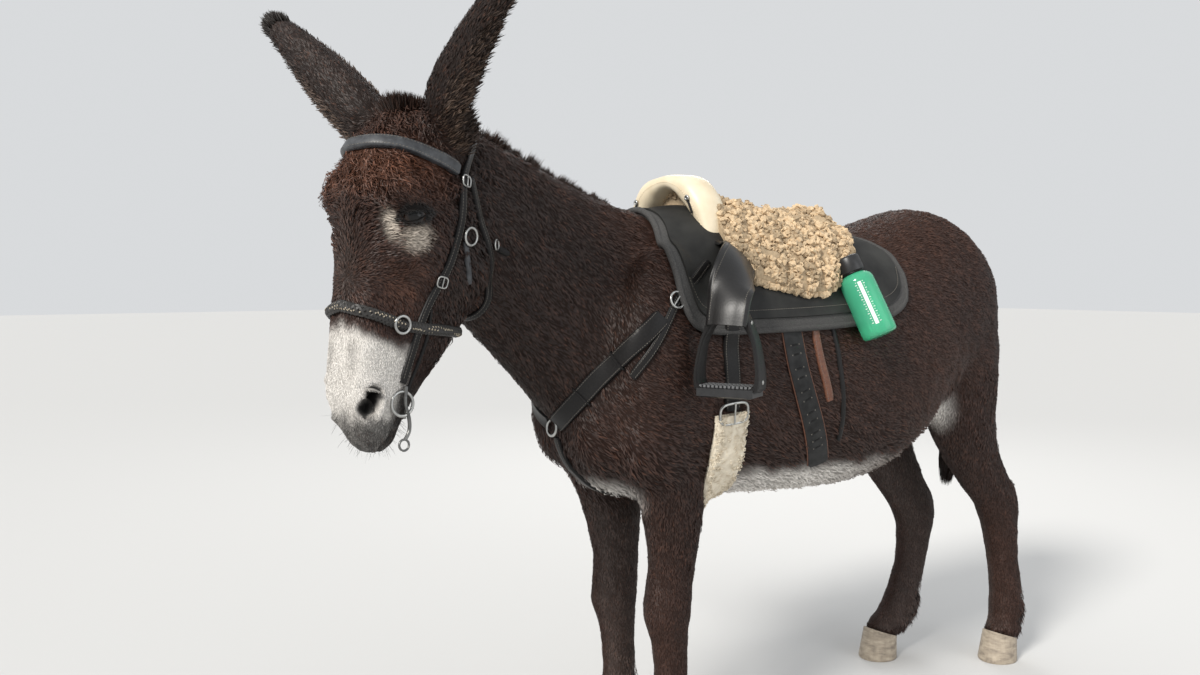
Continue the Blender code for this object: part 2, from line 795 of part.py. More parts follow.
def part_off(name, body, region, sizes, axes, parts, cutters):
    """Parts a region of the body off as a node of its own, a gap away from what is left."""
    piece = copied(name, body, parts)
    inner = box("region", region, sizes, axes, cutters)
    outer = box("region", region, [size + 2 * GAP for size in sizes], axes, cutters)
    boolean(piece, inner, "INTERSECT")
    boolean(body, outer, "DIFFERENCE")
    for cutter in (inner, outer):
        bpy.data.objects.remove(cutter)
    largest(body)
    return largest(piece)


def flesh(parts, masses):
    """The whole animal as one skin, before it is parted."""
    torso(masses)
    neck(masses)
    head_masses(masses)
    leg_masses(masses)
    tail_mass(masses)
    body = joined("torso", masses, parts)
    remesh = body.modifiers.new("one_skin", "REMESH")
    remesh.mode = "VOXEL"
    remesh.voxel_size = FLESH_VOXEL
    applied(body)
    smooth = body.modifiers.new("soften", "SMOOTH")
    smooth.factor = 0.5
    smooth.iterations = 5
    applied(body)
    head = copied("head", body, parts)
    for obj, operation, reach in ((head, "INTERSECT", HEAD_OVERLAP), (body, "DIFFERENCE", -HEAD_OVERLAP)):
        region = head_region(reach, masses)
        boolean(obj, region, operation)
        bpy.data.objects.remove(region)
        largest(obj)
    for obj, triangles in ((head, HEAD_TRIANGLES), (body, BODY_TRIANGLES)):
        thin = obj.modifiers.new("fewer", "DECIMATE")
        thin.ratio = triangles / sum(len(face.vertices) - 2 for face in obj.data.polygons)
        thin.use_collapse_triangulate = True
        applied(obj)
    return body, head


def head_region(reach, group):
    """The space in front of the cut between head and neck, reaching past it."""
    across, along, up = HEAD_LEFT, *HEAD_CUT_AXES
    centre = head_point(0, 0.24, HEAD_CUT_BEHIND) + up * (0.5 - reach / 2)
    return box("region", centre, (0.6, 1.4, 1.0 + reach), (across, along, up), group)


def parted(body, head, parts, cutters):
    """The flesh nodes, cut from the whole body."""
    nodes = {"torso": body, "head": head}
    for obj, operation, reach in ((head, "INTERSECT", 0.0), (body, "DIFFERENCE", GAP)):
        region = head_region(reach, cutters)
        boolean(obj, region, operation)
        bpy.data.objects.remove(region)
        largest(obj)
    across, along, up = (1, 0, 0), Vector((0, -0.80, 0.60)), Vector((0, 0.60, 0.80))
    region = NECK_CUT + along * 0.5
    nodes["neck"] = part_off("neck", body, region, (0.8, 1.0, 1.6), (across, along, up), parts, cutters)
    region = Vector((0, TAIL_CUT + 0.25, 1.0))
    nodes["tail"] = part_off("tail", body, region, (0.16, 0.5, 0.9), WORLD_AXES, parts, cutters)
    for side, name in ((1, "left"), (-1, "right")):
        back = 0 if side > 0 else RIGHT_FORE_BACK
        slope = math.radians(FORE_CUT_SLOPE)
        out = Vector((side * math.cos(slope), 0, math.sin(slope)))
        region = Vector((side * FORE_CUT_IN, -0.06 + back, FORE_CUT_Z)) + out * 0.25 - Vector((0, 0, 0.6))
        slanted = (out, (0, 1, 0), (0, 0, 1))
        fore = part_off("foreleg_" + name, body, region, (0.5, 0.46, 1.2), slanted, parts, cutters)
        nodes["foreleg_" + name] = fore
        back = 0 if side > 0 else RIGHT_HIND_BACK
        slope = math.radians(HIND_CUT_SLOPE)
        out = Vector((side * math.cos(slope), 0, math.sin(slope)))
        region = Vector((side * HIND_CUT_IN, 1.42 + back, HIND_CUT_Z)) + out * 0.25 - Vector((0, 0, 0.6))
        slanted = (out, (0, 1, 0), (0, 0, 1))
        hind = part_off("hindleg_" + name, body, region, (0.5, 0.84, 1.2), slanted, parts, cutters)
        nodes["hindleg_" + name] = hind
    return nodes


def hoof(name, centre, leg, parts, cutters):
    """A hoof under its slanted coronet, with the leg cut to meet it."""
    x, y = centre
    slant = Vector((0, CORONET_FALL, 1)).normalized()
    level = Vector((x, y, HOOF_HEIGHT))
    axes = ((1, 0, 0), slant.cross((1, 0, 0)), slant)
    below = box("below", level - slant * 0.1, (0.3, 0.3, 0.2), axes, cutters)
    boolean(leg, below, "DIFFERENCE")
    largest(leg)
    bpy.data.objects.remove(below)
    rings = []
    for share in (0.0, 0.06, 0.5, 0.9, 1.0):
        spread = 1 + (HOOF_SPREAD - 1) * (1 - share) - (0.03 if share in (0.0, 1.0) else 0)
        ring = []
        for i in range(HOOF_POINTS):
            turn = 2 * math.pi * i / HOOF_POINTS
            side, fore = math.cos(turn), -math.sin(turn)
            heel = 1.0 if fore < 0 else 0.86
            px = x + side * 0.053 * spread
            py = y + fore * 0.060 * spread * heel - HOOF_TOE_REACH * (1 - share)
            top = HOOF_HEIGHT - GAP - CORONET_FALL * (py - y)
            ring.append(Vector((px, py, top * share)))
        rings.append(ring)
    return loft(name, rings, parts)


def eye(side, head, parts, cutters):
    """An eyeball under its lids, and the opening between them."""
    name = "eye_left" if side > 0 else "eye_right"
    centre = head_point(side * EYE_OUT, EYE_DOWN, EYE_FRONT)
    looks = (HEAD_LEFT * side * 0.86 + FACE_OUT * 0.50 + DOWN_FACE * 0.06).normalized()
    along = DOWN_FACE * 0.55 + FACE_OUT * 0.83
    along = (along - along.dot(looks) * looks).normalized()
    across = looks.cross(along)
    axes = (along, across, looks)
    lids = ball("lids", centre, (EYE_RADIUS + LID,) * 3, axes, cutters, 14, 8)
    boolean(head, lids, "UNION")
    bpy.data.objects.remove(lids)
    brow = centre + looks * 0.014 - DOWN_FACE * 0.012
    ridge = ball("upper_lid", brow, (0.026, 0.010, 0.012), axes, cutters, 12, 6)
    boolean(head, ridge, "UNION")
    bpy.data.objects.remove(ridge)
    opening = ball("opening", centre + looks * EYE_RADIUS, EYE_OPENING, axes, cutters, 12, 6)
    boolean(head, opening, "DIFFERENCE")
    bpy.data.objects.remove(opening)
    made = ball(name, centre, (EYE_RADIUS,) * 3, axes, parts, 12, 7)
    clear_socket = ball("socket", centre, (EYE_RADIUS + GAP,) * 3, axes, cutters, 12, 7)
    boolean(head, clear_socket, "DIFFERENCE")
    bpy.data.objects.remove(clear_socket)
    largest(head)
    return made


def face_openings(head, cutters):
    """Nostrils and the line of the mouth, cut into the head."""
    for side in (1, -1):
        axes = (HEAD_LEFT, DOWN_FACE + HEAD_LEFT * side * 0.35, FACE_OUT)
        left, down, out = NOSTRIL_AT
        pit = ball("nostril", head_point(side * left, down, out), NOSTRIL, axes, cutters, 14, 8)
        boolean(head, pit, "DIFFERENCE")
        bpy.data.objects.remove(pit)
    mesh = bmesh.new()
    mesh.from_mesh(head.data)
    tree = BVHTree.FromBMesh(mesh)
    mesh.free()
    route = [head_point(*at) for at in MOUTH]
    route += [head_point(-left, down, out) for left, down, out in reversed(MOUTH[:-1])]
    groove = ribbon("mouth", route, MOUTH_WIDE, 0.004, tree, cutters, step=0.022, sink=MOUTH_DEEP)
    boolean(head, groove, "DIFFERENCE")
    bpy.data.objects.remove(groove)
    largest(head)


def spread_route(route, step):
    """Points a step apart along a smooth curve through the route."""
    rows = smooth_stations([tuple(point) for point in route], 8)
    found = [Vector(rows[0])]
    for row in rows[1:-1]:
        point = Vector(row)
        if (point - found[-1]).length >= step:
            found.append(point)
    if (Vector(rows[-1]) - found[-1]).length < step * 0.5 and len(found) > 2:
        found.pop()
    found.append(Vector(rows[-1]))
    return found


def ribbon(name, route, width, thick, ground, group, step=0.07, sink=0.010, ring=False):
    """A strap laid along a route on a surface, its underside sunk for a later cut."""
    points = spread_route(route, step)
    if ring:
        points.pop()
    count = len(points)
    rings = []
    for i, point in enumerate(points):
        before = points[(i - 1) % count] if ring else points[max(i - 1, 0)]
        after = points[(i + 1) % count] if ring else points[min(i + 1, count - 1)]
        along = (after - before).normalized()
        on, normal = ground.find_nearest(point)[:2]
        across = along.cross(normal).normalized()
        section = []
        for edge, height in ((1, -sink), (1, thick), (-1, thick), (-1, -sink)):
            side = ground.find_nearest(on + across * edge * width / 2)[0]
            section.append(side + normal * height)
        rings.append(section)
    if not ring:
        return loft(name, rings, group)
    mesh = bmesh.new()
    rows = [[mesh.verts.new(point) for point in section] for section in rings]
    for near, far in zip(rows, rows[1:] + rows[:1]):
        for i in range(4):
            j = (i + 1) % 4
            mesh.faces.new((near[i], near[j], far[j], far[i]))
    return mesh_object(name, mesh, group)


def surface_of(objects):
    mesh = bmesh.new()
    for obj in objects:
        mesh.from_mesh(obj.data)
    tree = BVHTree.FromBMesh(mesh)
    mesh.free()
    return tree


def ear(side, head, parts, cutters):
    """A long cupped ear, its opening turned outward and back."""
    name = "ear_left" if side > 0 else "ear_right"
    outward_lean, forward_lean = EAR_LEAN[side]
    way = (HEAD_LEFT * side * outward_lean + FACE_OUT * forward_lean + Vector((0, 0, 0.285))).normalized()
    opens = HEAD_LEFT * side * 0.80 - FACE_OUT * 0.60
    opens = (opens - opens.dot(way) * way).normalized()
    across = way.cross(opens).normalized()
    base = head_point(EAR_ROOT[side], 0.024, -0.098) + opens * 0.032
    rings = []
    for share, half, depth, cup in EAR:
        bend = way * (EAR_LENGTH * share) + opens * EAR_BEND * (share**2 - share)
        centre = base + bend
        section = []
        deep = depth * EAR_CUP
        for i in range(EAR_POINTS):
            turn = math.pi * i / (EAR_POINTS - 1)
            section.append(centre + across * half * math.cos(turn) - opens * deep * math.sin(turn))
        for i in range(1, EAR_POINTS - 1):
            turn = math.pi * (1 - i / (EAR_POINTS - 1))
            inner = half * EAR_WALL_SHARE
            section.append(centre + across * inner * math.cos(turn) - opens * deep * cup * math.sin(turn))
        rings.append(section)
    made = loft(name, rings, parts)
    mesh = bmesh.new()
    mesh.from_mesh(made.data)
    bmesh.ops.triangulate(mesh, faces=mesh.faces)
    mesh.to_mesh(made.data)
    mesh.free()
    return clear_of(made, [head], cutters)


def crest_point(along):
    """A place on the top line of the neck, 0 at the poll and 1 at the withers."""
    rows = CREST
    place = along * (len(rows) - 1)
    i = min(int(place), len(rows) - 2)
    return Vector(rows[i]).lerp(Vector(rows[i + 1]), place - i)


def lock(root, way, flat, size, bend, pieces, course=SHORT_LOCK):
    """A flat tapered lock of hair that bends as it runs, its flat side facing one way."""
    length, wide, thick = size
    rings = []
    for share, full in course:
        centre = root + way * length * share + bend * share**2
        along = (way * length + bend * 2 * share).normalized()
        across = along.cross(flat).normalized()
        out = across.cross(along)
        corners = ((1, 0), (0, 1), (-1, 0), (0, -1))
        rings.append([centre + (across * wide * a + out * thick * b) * full / 2 for a, b in corners])
    return loft("lock", rings, pieces)


def joined_to(node, pieces):
    """Fuses a collection of closed pieces with the node that they grow from."""
    kept = node.data.copy()
    for solver in ("MANIFOLD", "EXACT"):
        node.data = kept.copy()
        union = node.modifiers.new("union", "BOOLEAN")
        union.operation = "UNION"
        union.operand_type = "COLLECTION"
        union.collection = pieces
        union.solver = solver
        largest(applied(node))
        if closed(node):
            break
    for obj in list(pieces.objects):
        bpy.data.objects.remove(obj)
    return node


def mane(neck_node, pieces):
    """Short upright locks along the crest, leaning to either side in turn."""
    draw = random.Random(MANE_SEED)
    for i in range(MANE_LOCKS):
        along = MANE_REACH * (i + 0.5) / MANE_LOCKS
        lean = (1 if i % 2 else -1) * draw.uniform(0.12, 0.34)
        back = draw.uniform(0.05, 0.35)
        way = Vector((lean, back, 1)).normalized()
        high = MANE_LENGTH * math.sin(math.pi * (0.08 + 0.84 * along)) ** 0.35 * draw.uniform(0.85, 1.1)
        root = crest_point(along) - way * MANE_SINK
        bend = Vector((lean, back, 0)) * high * 0.35
        size = (high + MANE_SINK, MANE_WIDE, MANE_THICK)
        lock(root, way, Vector((1, 0, 0)), size, bend, pieces)
    return joined_to(neck_node, pieces)


def forelock(head_node, pieces):
    """A small tuft of locks between the ears, fanned upward."""
    draw = random.Random(FORELOCK_SEED)
    for i in range(FORELOCK_LOCKS):
        spread = i / (FORELOCK_LOCKS - 1) - 0.5
        front = 0.4 if i % 2 else -0.1
        way = (Vector((0, 0, 1)) + HEAD_LEFT * spread * 0.9 + FACE_OUT * front).normalized()
        root = head_point(FORELOCK_ROOT[0] + spread * 0.07, FORELOCK_ROOT[1], FORELOCK_ROOT[2])
        root += FACE_OUT * front * 0.04 - way * 0.02
        high = FORELOCK_LENGTH * draw.uniform(0.8, 1.1) * (1 - abs(spread) * 0.5)
        bend = HEAD_LEFT * spread * 0.02 + FACE_OUT * 0.006
        lock(root, way, FACE_OUT, (high + 0.02, FORELOCK_WIDE, FORELOCK_THICK), bend, pieces)
    return joined_to(head_node, pieces)


def switch(tail_node, pieces):
    """The long locks of the tail's end, hung round the dock in rows."""
    draw = random.Random(SWITCH_SEED)
    tip = Vector(SWITCH_TIP)
    for row, (height, reach) in enumerate(SWITCH_ROWS):
        foot = next(Vector(low[:3]).lerp(Vector(high[:3]), (height - low[2]) / (high[2] - low[2]))
                    for high, low in zip(TAIL, TAIL[1:]) if low[2] <= height <= high[2])
        for i in range(SWITCH_AROUND):
            turn = 2 * math.pi * (i + 0.5 * (row % 2)) / SWITCH_AROUND + draw.uniform(-0.2, 0.2)
            out = Vector((math.cos(turn), math.sin(turn), 0))
            length = reach * draw.uniform(0.86, 1.0)
            root = foot + out * 0.010
            way = (Vector((0, 0, -1)) + out * SWITCH_FLARE).normalized()
            end = tip + out * 0.012 + Vector((0, 0, height - length - tip.z))
            bend = end - root - way * length
            lock(root, way, out, (length, SWITCH_WIDE, SWITCH_THICK), bend, pieces, LONG_LOCK)
    return joined_to(tail_node, pieces)


def sheet(name, rows, thick, ground, group, columns, sink=0.010):
    """A cloth or leather cover over the back: y, then how far down each side it reaches, in degrees."""
    mesh = bmesh.new()
    grid = []
    for y, down_left, down_right in rows:
        line = []
        for i in range(columns):
            share = i / (columns - 1)
            turn = math.radians(down_left + (-down_right - down_left) * share)
            ray = Vector((math.sin(turn), 0, math.cos(turn)))
            start = Vector((0, y, SADDLE_AXIS_Z)) + ray * 0.9
            on = ground.ray_cast(start, -ray)[0]
            line.append((on, ray))
        grid.append(line)
    faces = [[[mesh.verts.new(on + ray * height) for on, ray in line] for line in grid]
             for height in (thick, -sink)]
    for level in faces:
        for near, far in zip(level, level[1:]):
            for a, b, c, d in zip(near, near[1:], far[1:], far):
                mesh.faces.new((a, b, c, d))
    top, low = faces
    edges = [([row[i] for row in top], [row[i] for row in low]) for i in (0, -1)]
    edges += [(top[i], low[i]) for i in (0, -1)]
    for upper, lower in edges:
        for a, b, c, d in zip(upper, upper[1:], lower[1:], lower):
            mesh.faces.new((a, b, c, d))
    return mesh_object(name, mesh, group)


def torus(name, centre, axis, radius, wire, group, around=10, section=4):
    """A ring of round wire."""
    bpy.ops.mesh.primitive_torus_add(
        major_segments=around, minor_segments=section, major_radius=radius, minor_radius=wire
    )
    made = bpy.context.object
    made.name = name
    for holder in list(made.users_collection):
        holder.objects.unlink(made)
    group.objects.link(made)
    turn = Vector((0, 0, 1)).rotation_difference(Vector(axis).normalized()).to_matrix().to_4x4()
    made.data.transform(Matrix.Translation(Vector(centre)) @ turn)
    return made


def bar(name, points, wides, thicks, facing, group):
    """A flat bar through points, of given widths and thicknesses, its flat side facing one way."""
    rings = []
    points = [Vector(point) for point in points]
    facing = Vector(facing).normalized()
    for i, point in enumerate(points):
        along = (points[min(i + 1, len(points) - 1)] - points[max(i - 1, 0)]).normalized()
        across = along.cross(facing).normalized()
        out = across.cross(along).normalized()
        wide, thick = wides[i] / 2, thicks[i] / 2
        corners = ((1, -1), (1, 1), (-1, 1), (-1, -1))
        rings.append([point + across * wide * a + out * thick * b for a, b in corners])
    return loft(name, rings, group)


def mirrored(point, side):
    """The same place on either side, well out from the flank on the right."""
    out = 0 if side > 0 else MIRROR_SPARE
    return Vector(((point[0] + out) * side, point[1], point[2]))


def head_route(route, side=1):
    return [head_point(left * side, down, out) for left, down, out in route]


def round_piece(name, start, end, profile, group, points=14):
    """A turned piece along a line: shares of its length and radii."""
    start, end = Vector(start), Vector(end)
    along = (end - start).normalized()
    across = along.orthogonal().normalized()
    up = along.cross(across)
    rings = []
    for share, radius in profile:
        rings.append(oval(start.lerp(end, share), across, up, radius, radius, radius, 2.0, points))
    return loft(name, rings, group)


def stirrup(name, side, parts):
    """A closed leather-covered loop with a wide tread, its sides flaring down from the top block."""
    wide = Vector((side * STIRRUP_TURN[0], STIRRUP_TURN[1], 0)).normalized()
    fore = Vector((0, 0, 1)).cross(wide).normalized()
    middle = Vector((side * STIRRUP_AT[0], STIRRUP_AT[1], STIRRUP_AT[2]))
    mesh = bmesh.new()
    rows = []
    for left, up, depth, thick_left, thick_up in STIRRUP_LOOP:
        inner = Vector((left - thick_left, 0, up - thick_up))
        outer = Vector((left, 0, up))
        row = []
        for corner, ahead in ((outer, depth), (inner, depth), (inner, -depth), (outer, -depth)):
            point = middle + wide * corner.x + Vector((0, 0, corner.z)) + fore * ahead / 2
            row.append(mesh.verts.new(point))
        rows.append(row)
    for near, far in zip(rows, rows[1:] + rows[:1]):
        for j in range(4):
            k = (j + 1) % 4
            mesh.faces.new((near[j], near[k], far[k], far[j]))
    return mesh_object(name, mesh, parts)


def saddle(whole, parts, cutters):
    """The saddle, its pad and what hangs from it."""
    made = {}
    skin = surface_of(whole)
    pad = sheet("saddle_pad", PAD, PAD_THICK, skin, parts, 13)
    made["saddle_pad"] = clear_of(pad, whole, cutters)
    top = surface_of(whole + [pad])
    seat = sheet("seat_fleece", SEAT, SEAT_THICK, top, parts, 9)
    made["seat_fleece"] = clear_of(seat, [pad] + whole, cutters)
    arch = [(Vector((-x, y, z)), fore, thick) for x, y, z, fore, thick in FORK]
    arch += [(Vector((x, y, z)), fore, thick) for x, y, z, fore, thick in FORK[-2::-1]]
    rings = []
    for i, (point, fore, thick) in enumerate(arch):
        along = (arch[min(i + 1, len(arch) - 1)][0] - arch[max(i - 1, 0)][0]).normalized()
        up = Vector((0, 1, 0)).cross(along) * -1
        rings.append(oval(point, (0, 1, 0), up.normalized(), fore, thick, thick, 2.4, 10))
    fork = loft("saddle_fork", rings, parts)
    made["saddle_fork"] = clear_of(fork, [pad, seat] + whole, cutters)
    top = surface_of(whole + [pad, seat])
    for side, name in ((1, "left"), (-1, "right")):
        points = [mirrored(point, side) for point in FENDER]
        thicks = (FENDER_THICK,) * len(points)
        fender = bar("fender_" + name, points, FENDER_WIDE, thicks, (side, 0, 0.35), parts)
        made[fender.name] = clear_of(fender, [pad, seat] + whole, cutters)
        made["stirrup_" + name] = stirrup("stirrup_" + name, side, parts)
        clear_of(fender, [made["stirrup_" + name]], cutters)
        for label, route, width, thick in SIDE_STRAPS:
            course = [mirrored(point, side) for point in route]
            strap = ribbon(label + "_" + name, course, width, thick, top, parts)
            made[strap.name] = clear_of(strap, [pad, seat] + whole, cutters)
    under = [mirrored(point, -1) for point in CINCH[:0:-1]] + [Vector(point) for point in CINCH]
    cinch = ribbon("cinch", under, CINCH_WIDE, CINCH_THICK, skin, parts, step=0.05)
    made["cinch"] = clear_of(cinch, whole, cutters)
    for side, name in ((1, "left"), (-1, "right")):
        course = [mirrored(point, side) for point in LATIGO]
        latigo = ribbon("latigo_" + name, course, LATIGO_WIDE, LATIGO_THICK, top, parts)
        made[latigo.name] = clear_of(latigo, [pad, cinch] + whole, cutters)
    bottle = round_piece("bottle", BOTTLE_CAP_END, BOTTLE_FOOT, BOTTLE, parts)
    cap = round_piece("bottle_cap", BOTTLE_CAP_END, BOTTLE_FOOT, BOTTLE_CAP, parts)
    made["bottle"] = clear_of(bottle, [pad, seat] + whole, cutters)
    made["bottle_cap"] = clear_of(cap, [bottle, pad, seat], cutters)
    return made


def breast_collar(made, whole, parts, cutters):
    skin = surface_of(whole + [made["saddle_pad"]])
    ring = torus("chest_ring", CHEST_RING, (0, -1, 0.1), *COLLAR_RING, parts)
    made["chest_ring"] = clear_of(ring, whole, cutters)
    for side, name in ((1, "left"), (-1, "right")):
        route = [mirrored(point, side) for point in BREAST]
        strap = ribbon("breast_strap_" + name, route, *BREAST_STRAP, skin, parts, step=0.06)
        made[strap.name] = clear_of(strap, whole + [made["saddle_pad"], ring], cutters)
        route = [mirrored(point, side) for point in TUG]
        over = surface_of(whole + [made["saddle_pad"], strap])
        tug = ribbon("tug_" + name, route, *TUG_STRAP, over, parts, step=0.06)
        made[tug.name] = clear_of(tug, whole + [made["saddle_pad"], strap], cutters)
        place, normal = skin.find_nearest(mirrored(TUG_BUCKLE, side))[:2]
        centre = place + normal * COLLAR_BUCKLE_LIFT
        buckle = torus("tug_buckle_" + name, centre, normal, *COLLAR_BUCKLE, parts)
        made[buckle.name] = clear_of(buckle, [tug, strap, made["saddle_pad"]], cutters)
    belly = ribbon("belly_strap", BELLY, *BELLY_STRAP, skin, parts, step=0.09)
    made["belly_strap"] = clear_of(belly, whole + [ring, made["cinch"]], cutters)


def bridle(made, whole, parts, cutters):
    face = surface_of(whole)
    brow = ribbon("browband", head_route(BROWBAND), *BROW_STRAP, face, parts, step=0.055)
    made["browband"] = clear_of(brow, whole, cutters)
    nose = ribbon("noseband", head_route(NOSEBAND), *NOSE_STRAP, face, parts, step=0.05, ring=True)
    made["noseband"] = clear_of(nose, whole, cutters)
    for side, name in ((1, "left"), (-1, "right")):
        course = head_route(CHEEK, side)
        cheek = ribbon("cheek_strap_" + name, course, *CHEEK_STRAP, face, parts, step=0.075)
        made[cheek.name] = clear_of(cheek, whole + [brow, nose], cutters)
        course = head_route(THROAT, side)
        throat = ribbon("throat_strap_" + name, course, *THROAT_STRAP, face, parts, step=0.08)
        made[throat.name] = clear_of(throat, whole + [cheek, brow], cutters)
        for label, at, radius, wire, lift in HEAD_RINGS:
            place, normal = face.find_nearest(head_point(at[0] * side, at[1], at[2]))[:2]
            ring = torus(label + "_" + name, place + normal * lift, normal, radius, wire, parts)
            made[ring.name] = clear_of(ring, whole + [nose, cheek, throat], cutters)
    curb = ribbon("curb_strap", head_route(CURB), *CURB_STRAP, face, parts, step=0.03)
    near = [made[label + side] for label in ("bit_ring_", "cheek_strap_") for side in ("left", "right")]
    made["curb_strap"] = clear_of(curb, whole + near, cutters)


def finish(parts):
    """Gives each piece its material and stands the donkey on the middle of its box."""
    for obj in parts.objects:
        kind = next(value for key, value in FINISHES if key in obj.name)
        label, colour, roughness, metallic = kind
        found = bpy.data.materials.get(label) or material(label, colour, roughness, metallic)
        obj.data.materials.clear()
        obj.data.materials.append(found)
        mesh = bmesh.new()
        mesh.from_mesh(obj.data)
        bmesh.ops.triangulate(mesh, faces=mesh.faces)
        mesh.to_mesh(obj.data)
        mesh.free()
        obj.data.shade_smooth()
        obj.data.set_sharp_from_angle(angle=math.radians(40))
    corners = [vert.co for obj in parts.objects for vert in obj.data.vertices]
    low = Vector(min(co[i] for co in corners) for i in range(3))
    high = Vector(max(co[i] for co in corners) for i in range(3))
    shift = Vector((-(low.x + high.x) / 2, -(low.y + high.y) / 2, -low.z))
    for obj in parts.objects:
        obj.data.transform(Matrix.Translation(shift))
    return shift


def main():
    clear_scene()
    parts = collection("mammoth_donkey")
    masses = collection("masses")
    cutters = collection("cutters", False)
    whole_group = collection("whole", False)
    body, head = flesh(parts, masses)
    whole = [copied("whole", obj, whole_group) for obj in (body, head)]
    nodes = parted(body, head, parts, cutters)
    for name, centre in HOOVES.items():
        nodes["hoof_" + name] = hoof("hoof_" + name, centre, nodes[LEG_OF[name]], parts, cutters)
    for side in (1, -1):
        eye(side, nodes["head"], parts, cutters)
    face_openings(nodes["head"], cutters)
    for side in (1, -1):
        made = ear(side, nodes["head"], parts, cutters)
        nodes[made.name] = made
    mane(nodes["neck"], masses)
    forelock(nodes["head"], masses)
    switch(nodes["tail"], masses)
    clear_of(nodes["neck"], [nodes["head"], nodes["ear_left"], nodes["ear_right"]], cutters)
    made = saddle(whole, parts, cutters)
    clear_of(nodes["neck"], [made["saddle_pad"]], cutters, 3 * GAP)
    breast_collar(made, whole, parts, cutters)
    bridle(made, whole, parts, cutters)
    for obj in list(whole_group.objects) + list(cutters.objects):
        bpy.data.objects.remove(obj)
    return finish(parts)


if __name__ == "__main__":
    main()
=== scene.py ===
"""A mammoth donkey in its riding tack: one skin under a mesh coat, with saddle, bridle and bottle.

The donkey faces -Y, its left side is +X and the floor is z = 0. Sizes are in metres.
"""

import math

import bmesh
import bpy
import numpy as np
from mathutils import Matrix, Vector
from mathutils.bvhtree import BVHTree


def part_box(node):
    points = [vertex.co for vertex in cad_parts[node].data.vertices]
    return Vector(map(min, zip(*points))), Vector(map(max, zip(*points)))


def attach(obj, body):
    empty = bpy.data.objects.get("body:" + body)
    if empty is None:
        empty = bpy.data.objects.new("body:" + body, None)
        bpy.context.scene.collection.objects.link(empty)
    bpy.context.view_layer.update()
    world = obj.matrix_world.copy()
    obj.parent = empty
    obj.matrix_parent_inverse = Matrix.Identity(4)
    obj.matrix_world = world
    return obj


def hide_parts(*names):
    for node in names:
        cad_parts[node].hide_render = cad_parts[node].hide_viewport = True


bl_info = {
    "name": "Mammoth Donkey",
    "version": (1, 0, 0),
    "blender": (4, 5, 0),
    "location": "View3D > Sidebar > Donkey",
    "description": "Dresses a standing mammoth donkey with skin, coat and riding tack",
    "category": "Object",
}

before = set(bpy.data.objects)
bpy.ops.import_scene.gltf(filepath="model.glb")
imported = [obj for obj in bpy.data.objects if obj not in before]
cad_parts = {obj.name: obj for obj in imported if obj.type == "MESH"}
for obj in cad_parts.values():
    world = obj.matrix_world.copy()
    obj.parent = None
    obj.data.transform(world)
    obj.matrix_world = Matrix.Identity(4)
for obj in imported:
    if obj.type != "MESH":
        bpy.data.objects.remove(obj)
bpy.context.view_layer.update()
SIDES = ((1, "left"), (-1, "right"))

# The donkey's own measuring point: under the withers, between the forefeet
HOOF_CENTRE = (0.09, 0.0197)
_low, _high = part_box("hoof_fore_left")
ORIGIN = Vector(((_low.x + _high.x) / 2 - HOOF_CENTRE[0], (_low.y + _high.y) / 2 - HOOF_CENTRE[1], 0.0))
HOME = np.array(ORIGIN)

# The head hangs from its crown: which way the face runs, looks and lies across
CROWN = Vector((0.115, -0.724, 1.614)) + ORIGIN
DOWN_FACE = Vector((0.082, -0.195, -0.977)).normalized()
FACE_LOOKS = Vector((0.24, -0.948, 0.209))
FACE_OUT = (FACE_LOOKS - FACE_LOOKS.dot(DOWN_FACE) * DOWN_FACE).normalized()
HEAD_LEFT = FACE_OUT.cross(DOWN_FACE).normalized()
HEAD_AXES = np.array((HEAD_LEFT, DOWN_FACE, FACE_OUT))
TO_LEFT, TO_NOSE, TO_FRONT = HEAD_AXES

FLESH = ("torso", "head", "neck", "tail", "foreleg_left", "foreleg_right", "hindleg_left", "hindleg_right",
         "ear_left", "ear_right")
HEAD = FLESH.index("head")
EYE_PLACE = (0.0995, 0.218, -0.051)
EYE_RADIUS = 0.0262
SKIN_VOXEL = 0.009
EAR_PLUMP = 0.0046
SEED = 4557
TINY = 1e-9


# Helpers: places, meshes and materials


def head_point(left, down, out):
    return CROWN + HEAD_LEFT * left + DOWN_FACE * down + FACE_OUT * out


def in_head(points):
    """Points as left of the head's middle, down the face and out from the face line."""
    return (points - np.array(CROWN)) @ HEAD_AXES.T


def at(x, y, z):
    return Vector((x, y, z)) + ORIGIN


def smoothstep(low, high, value):
    t = np.clip((value - low) / (high - low), 0.0, 1.0)
    return t * t * (3 - 2 * t)


def bump(distance, radius):
    """1 in the middle, 0 from the radius on."""
    t = np.clip(distance / radius, 0.0, 1.0)
    return (1 - t * t) ** 2


def unit(vectors):
    return vectors / np.maximum(np.linalg.norm(vectors, axis=-1, keepdims=True), TINY)


def mix(a, b, share):
    return a + (b - a) * share


def within(points, middle, sizes):
    """1 in the middle of an ellipsoid, 0 from its surface on."""
    return bump(np.linalg.norm((points - middle) / sizes, axis=1), 1.0)


def rows_of(points):
    return np.array([tuple(point) for point in points], float)


def rounded(value, power):
    """Bends a sine or cosine toward a square."""
    return math.copysign(abs(value) ** power, value)


def circle(count):
    return [2 * math.pi * i / count for i in range(count)]


def new_object(name, data):
    obj = bpy.data.objects.new(name, data)
    bpy.context.scene.collection.objects.link(obj)
    return obj


def object_from(name, mesh):
    """A new smooth object from a bmesh, its faces turned outward."""
    data = bpy.data.meshes.new(name)
    bmesh.ops.recalc_face_normals(mesh, faces=mesh.faces)
    mesh.to_mesh(data)
    mesh.free()
    data.shade_smooth()
    return new_object(name, data)


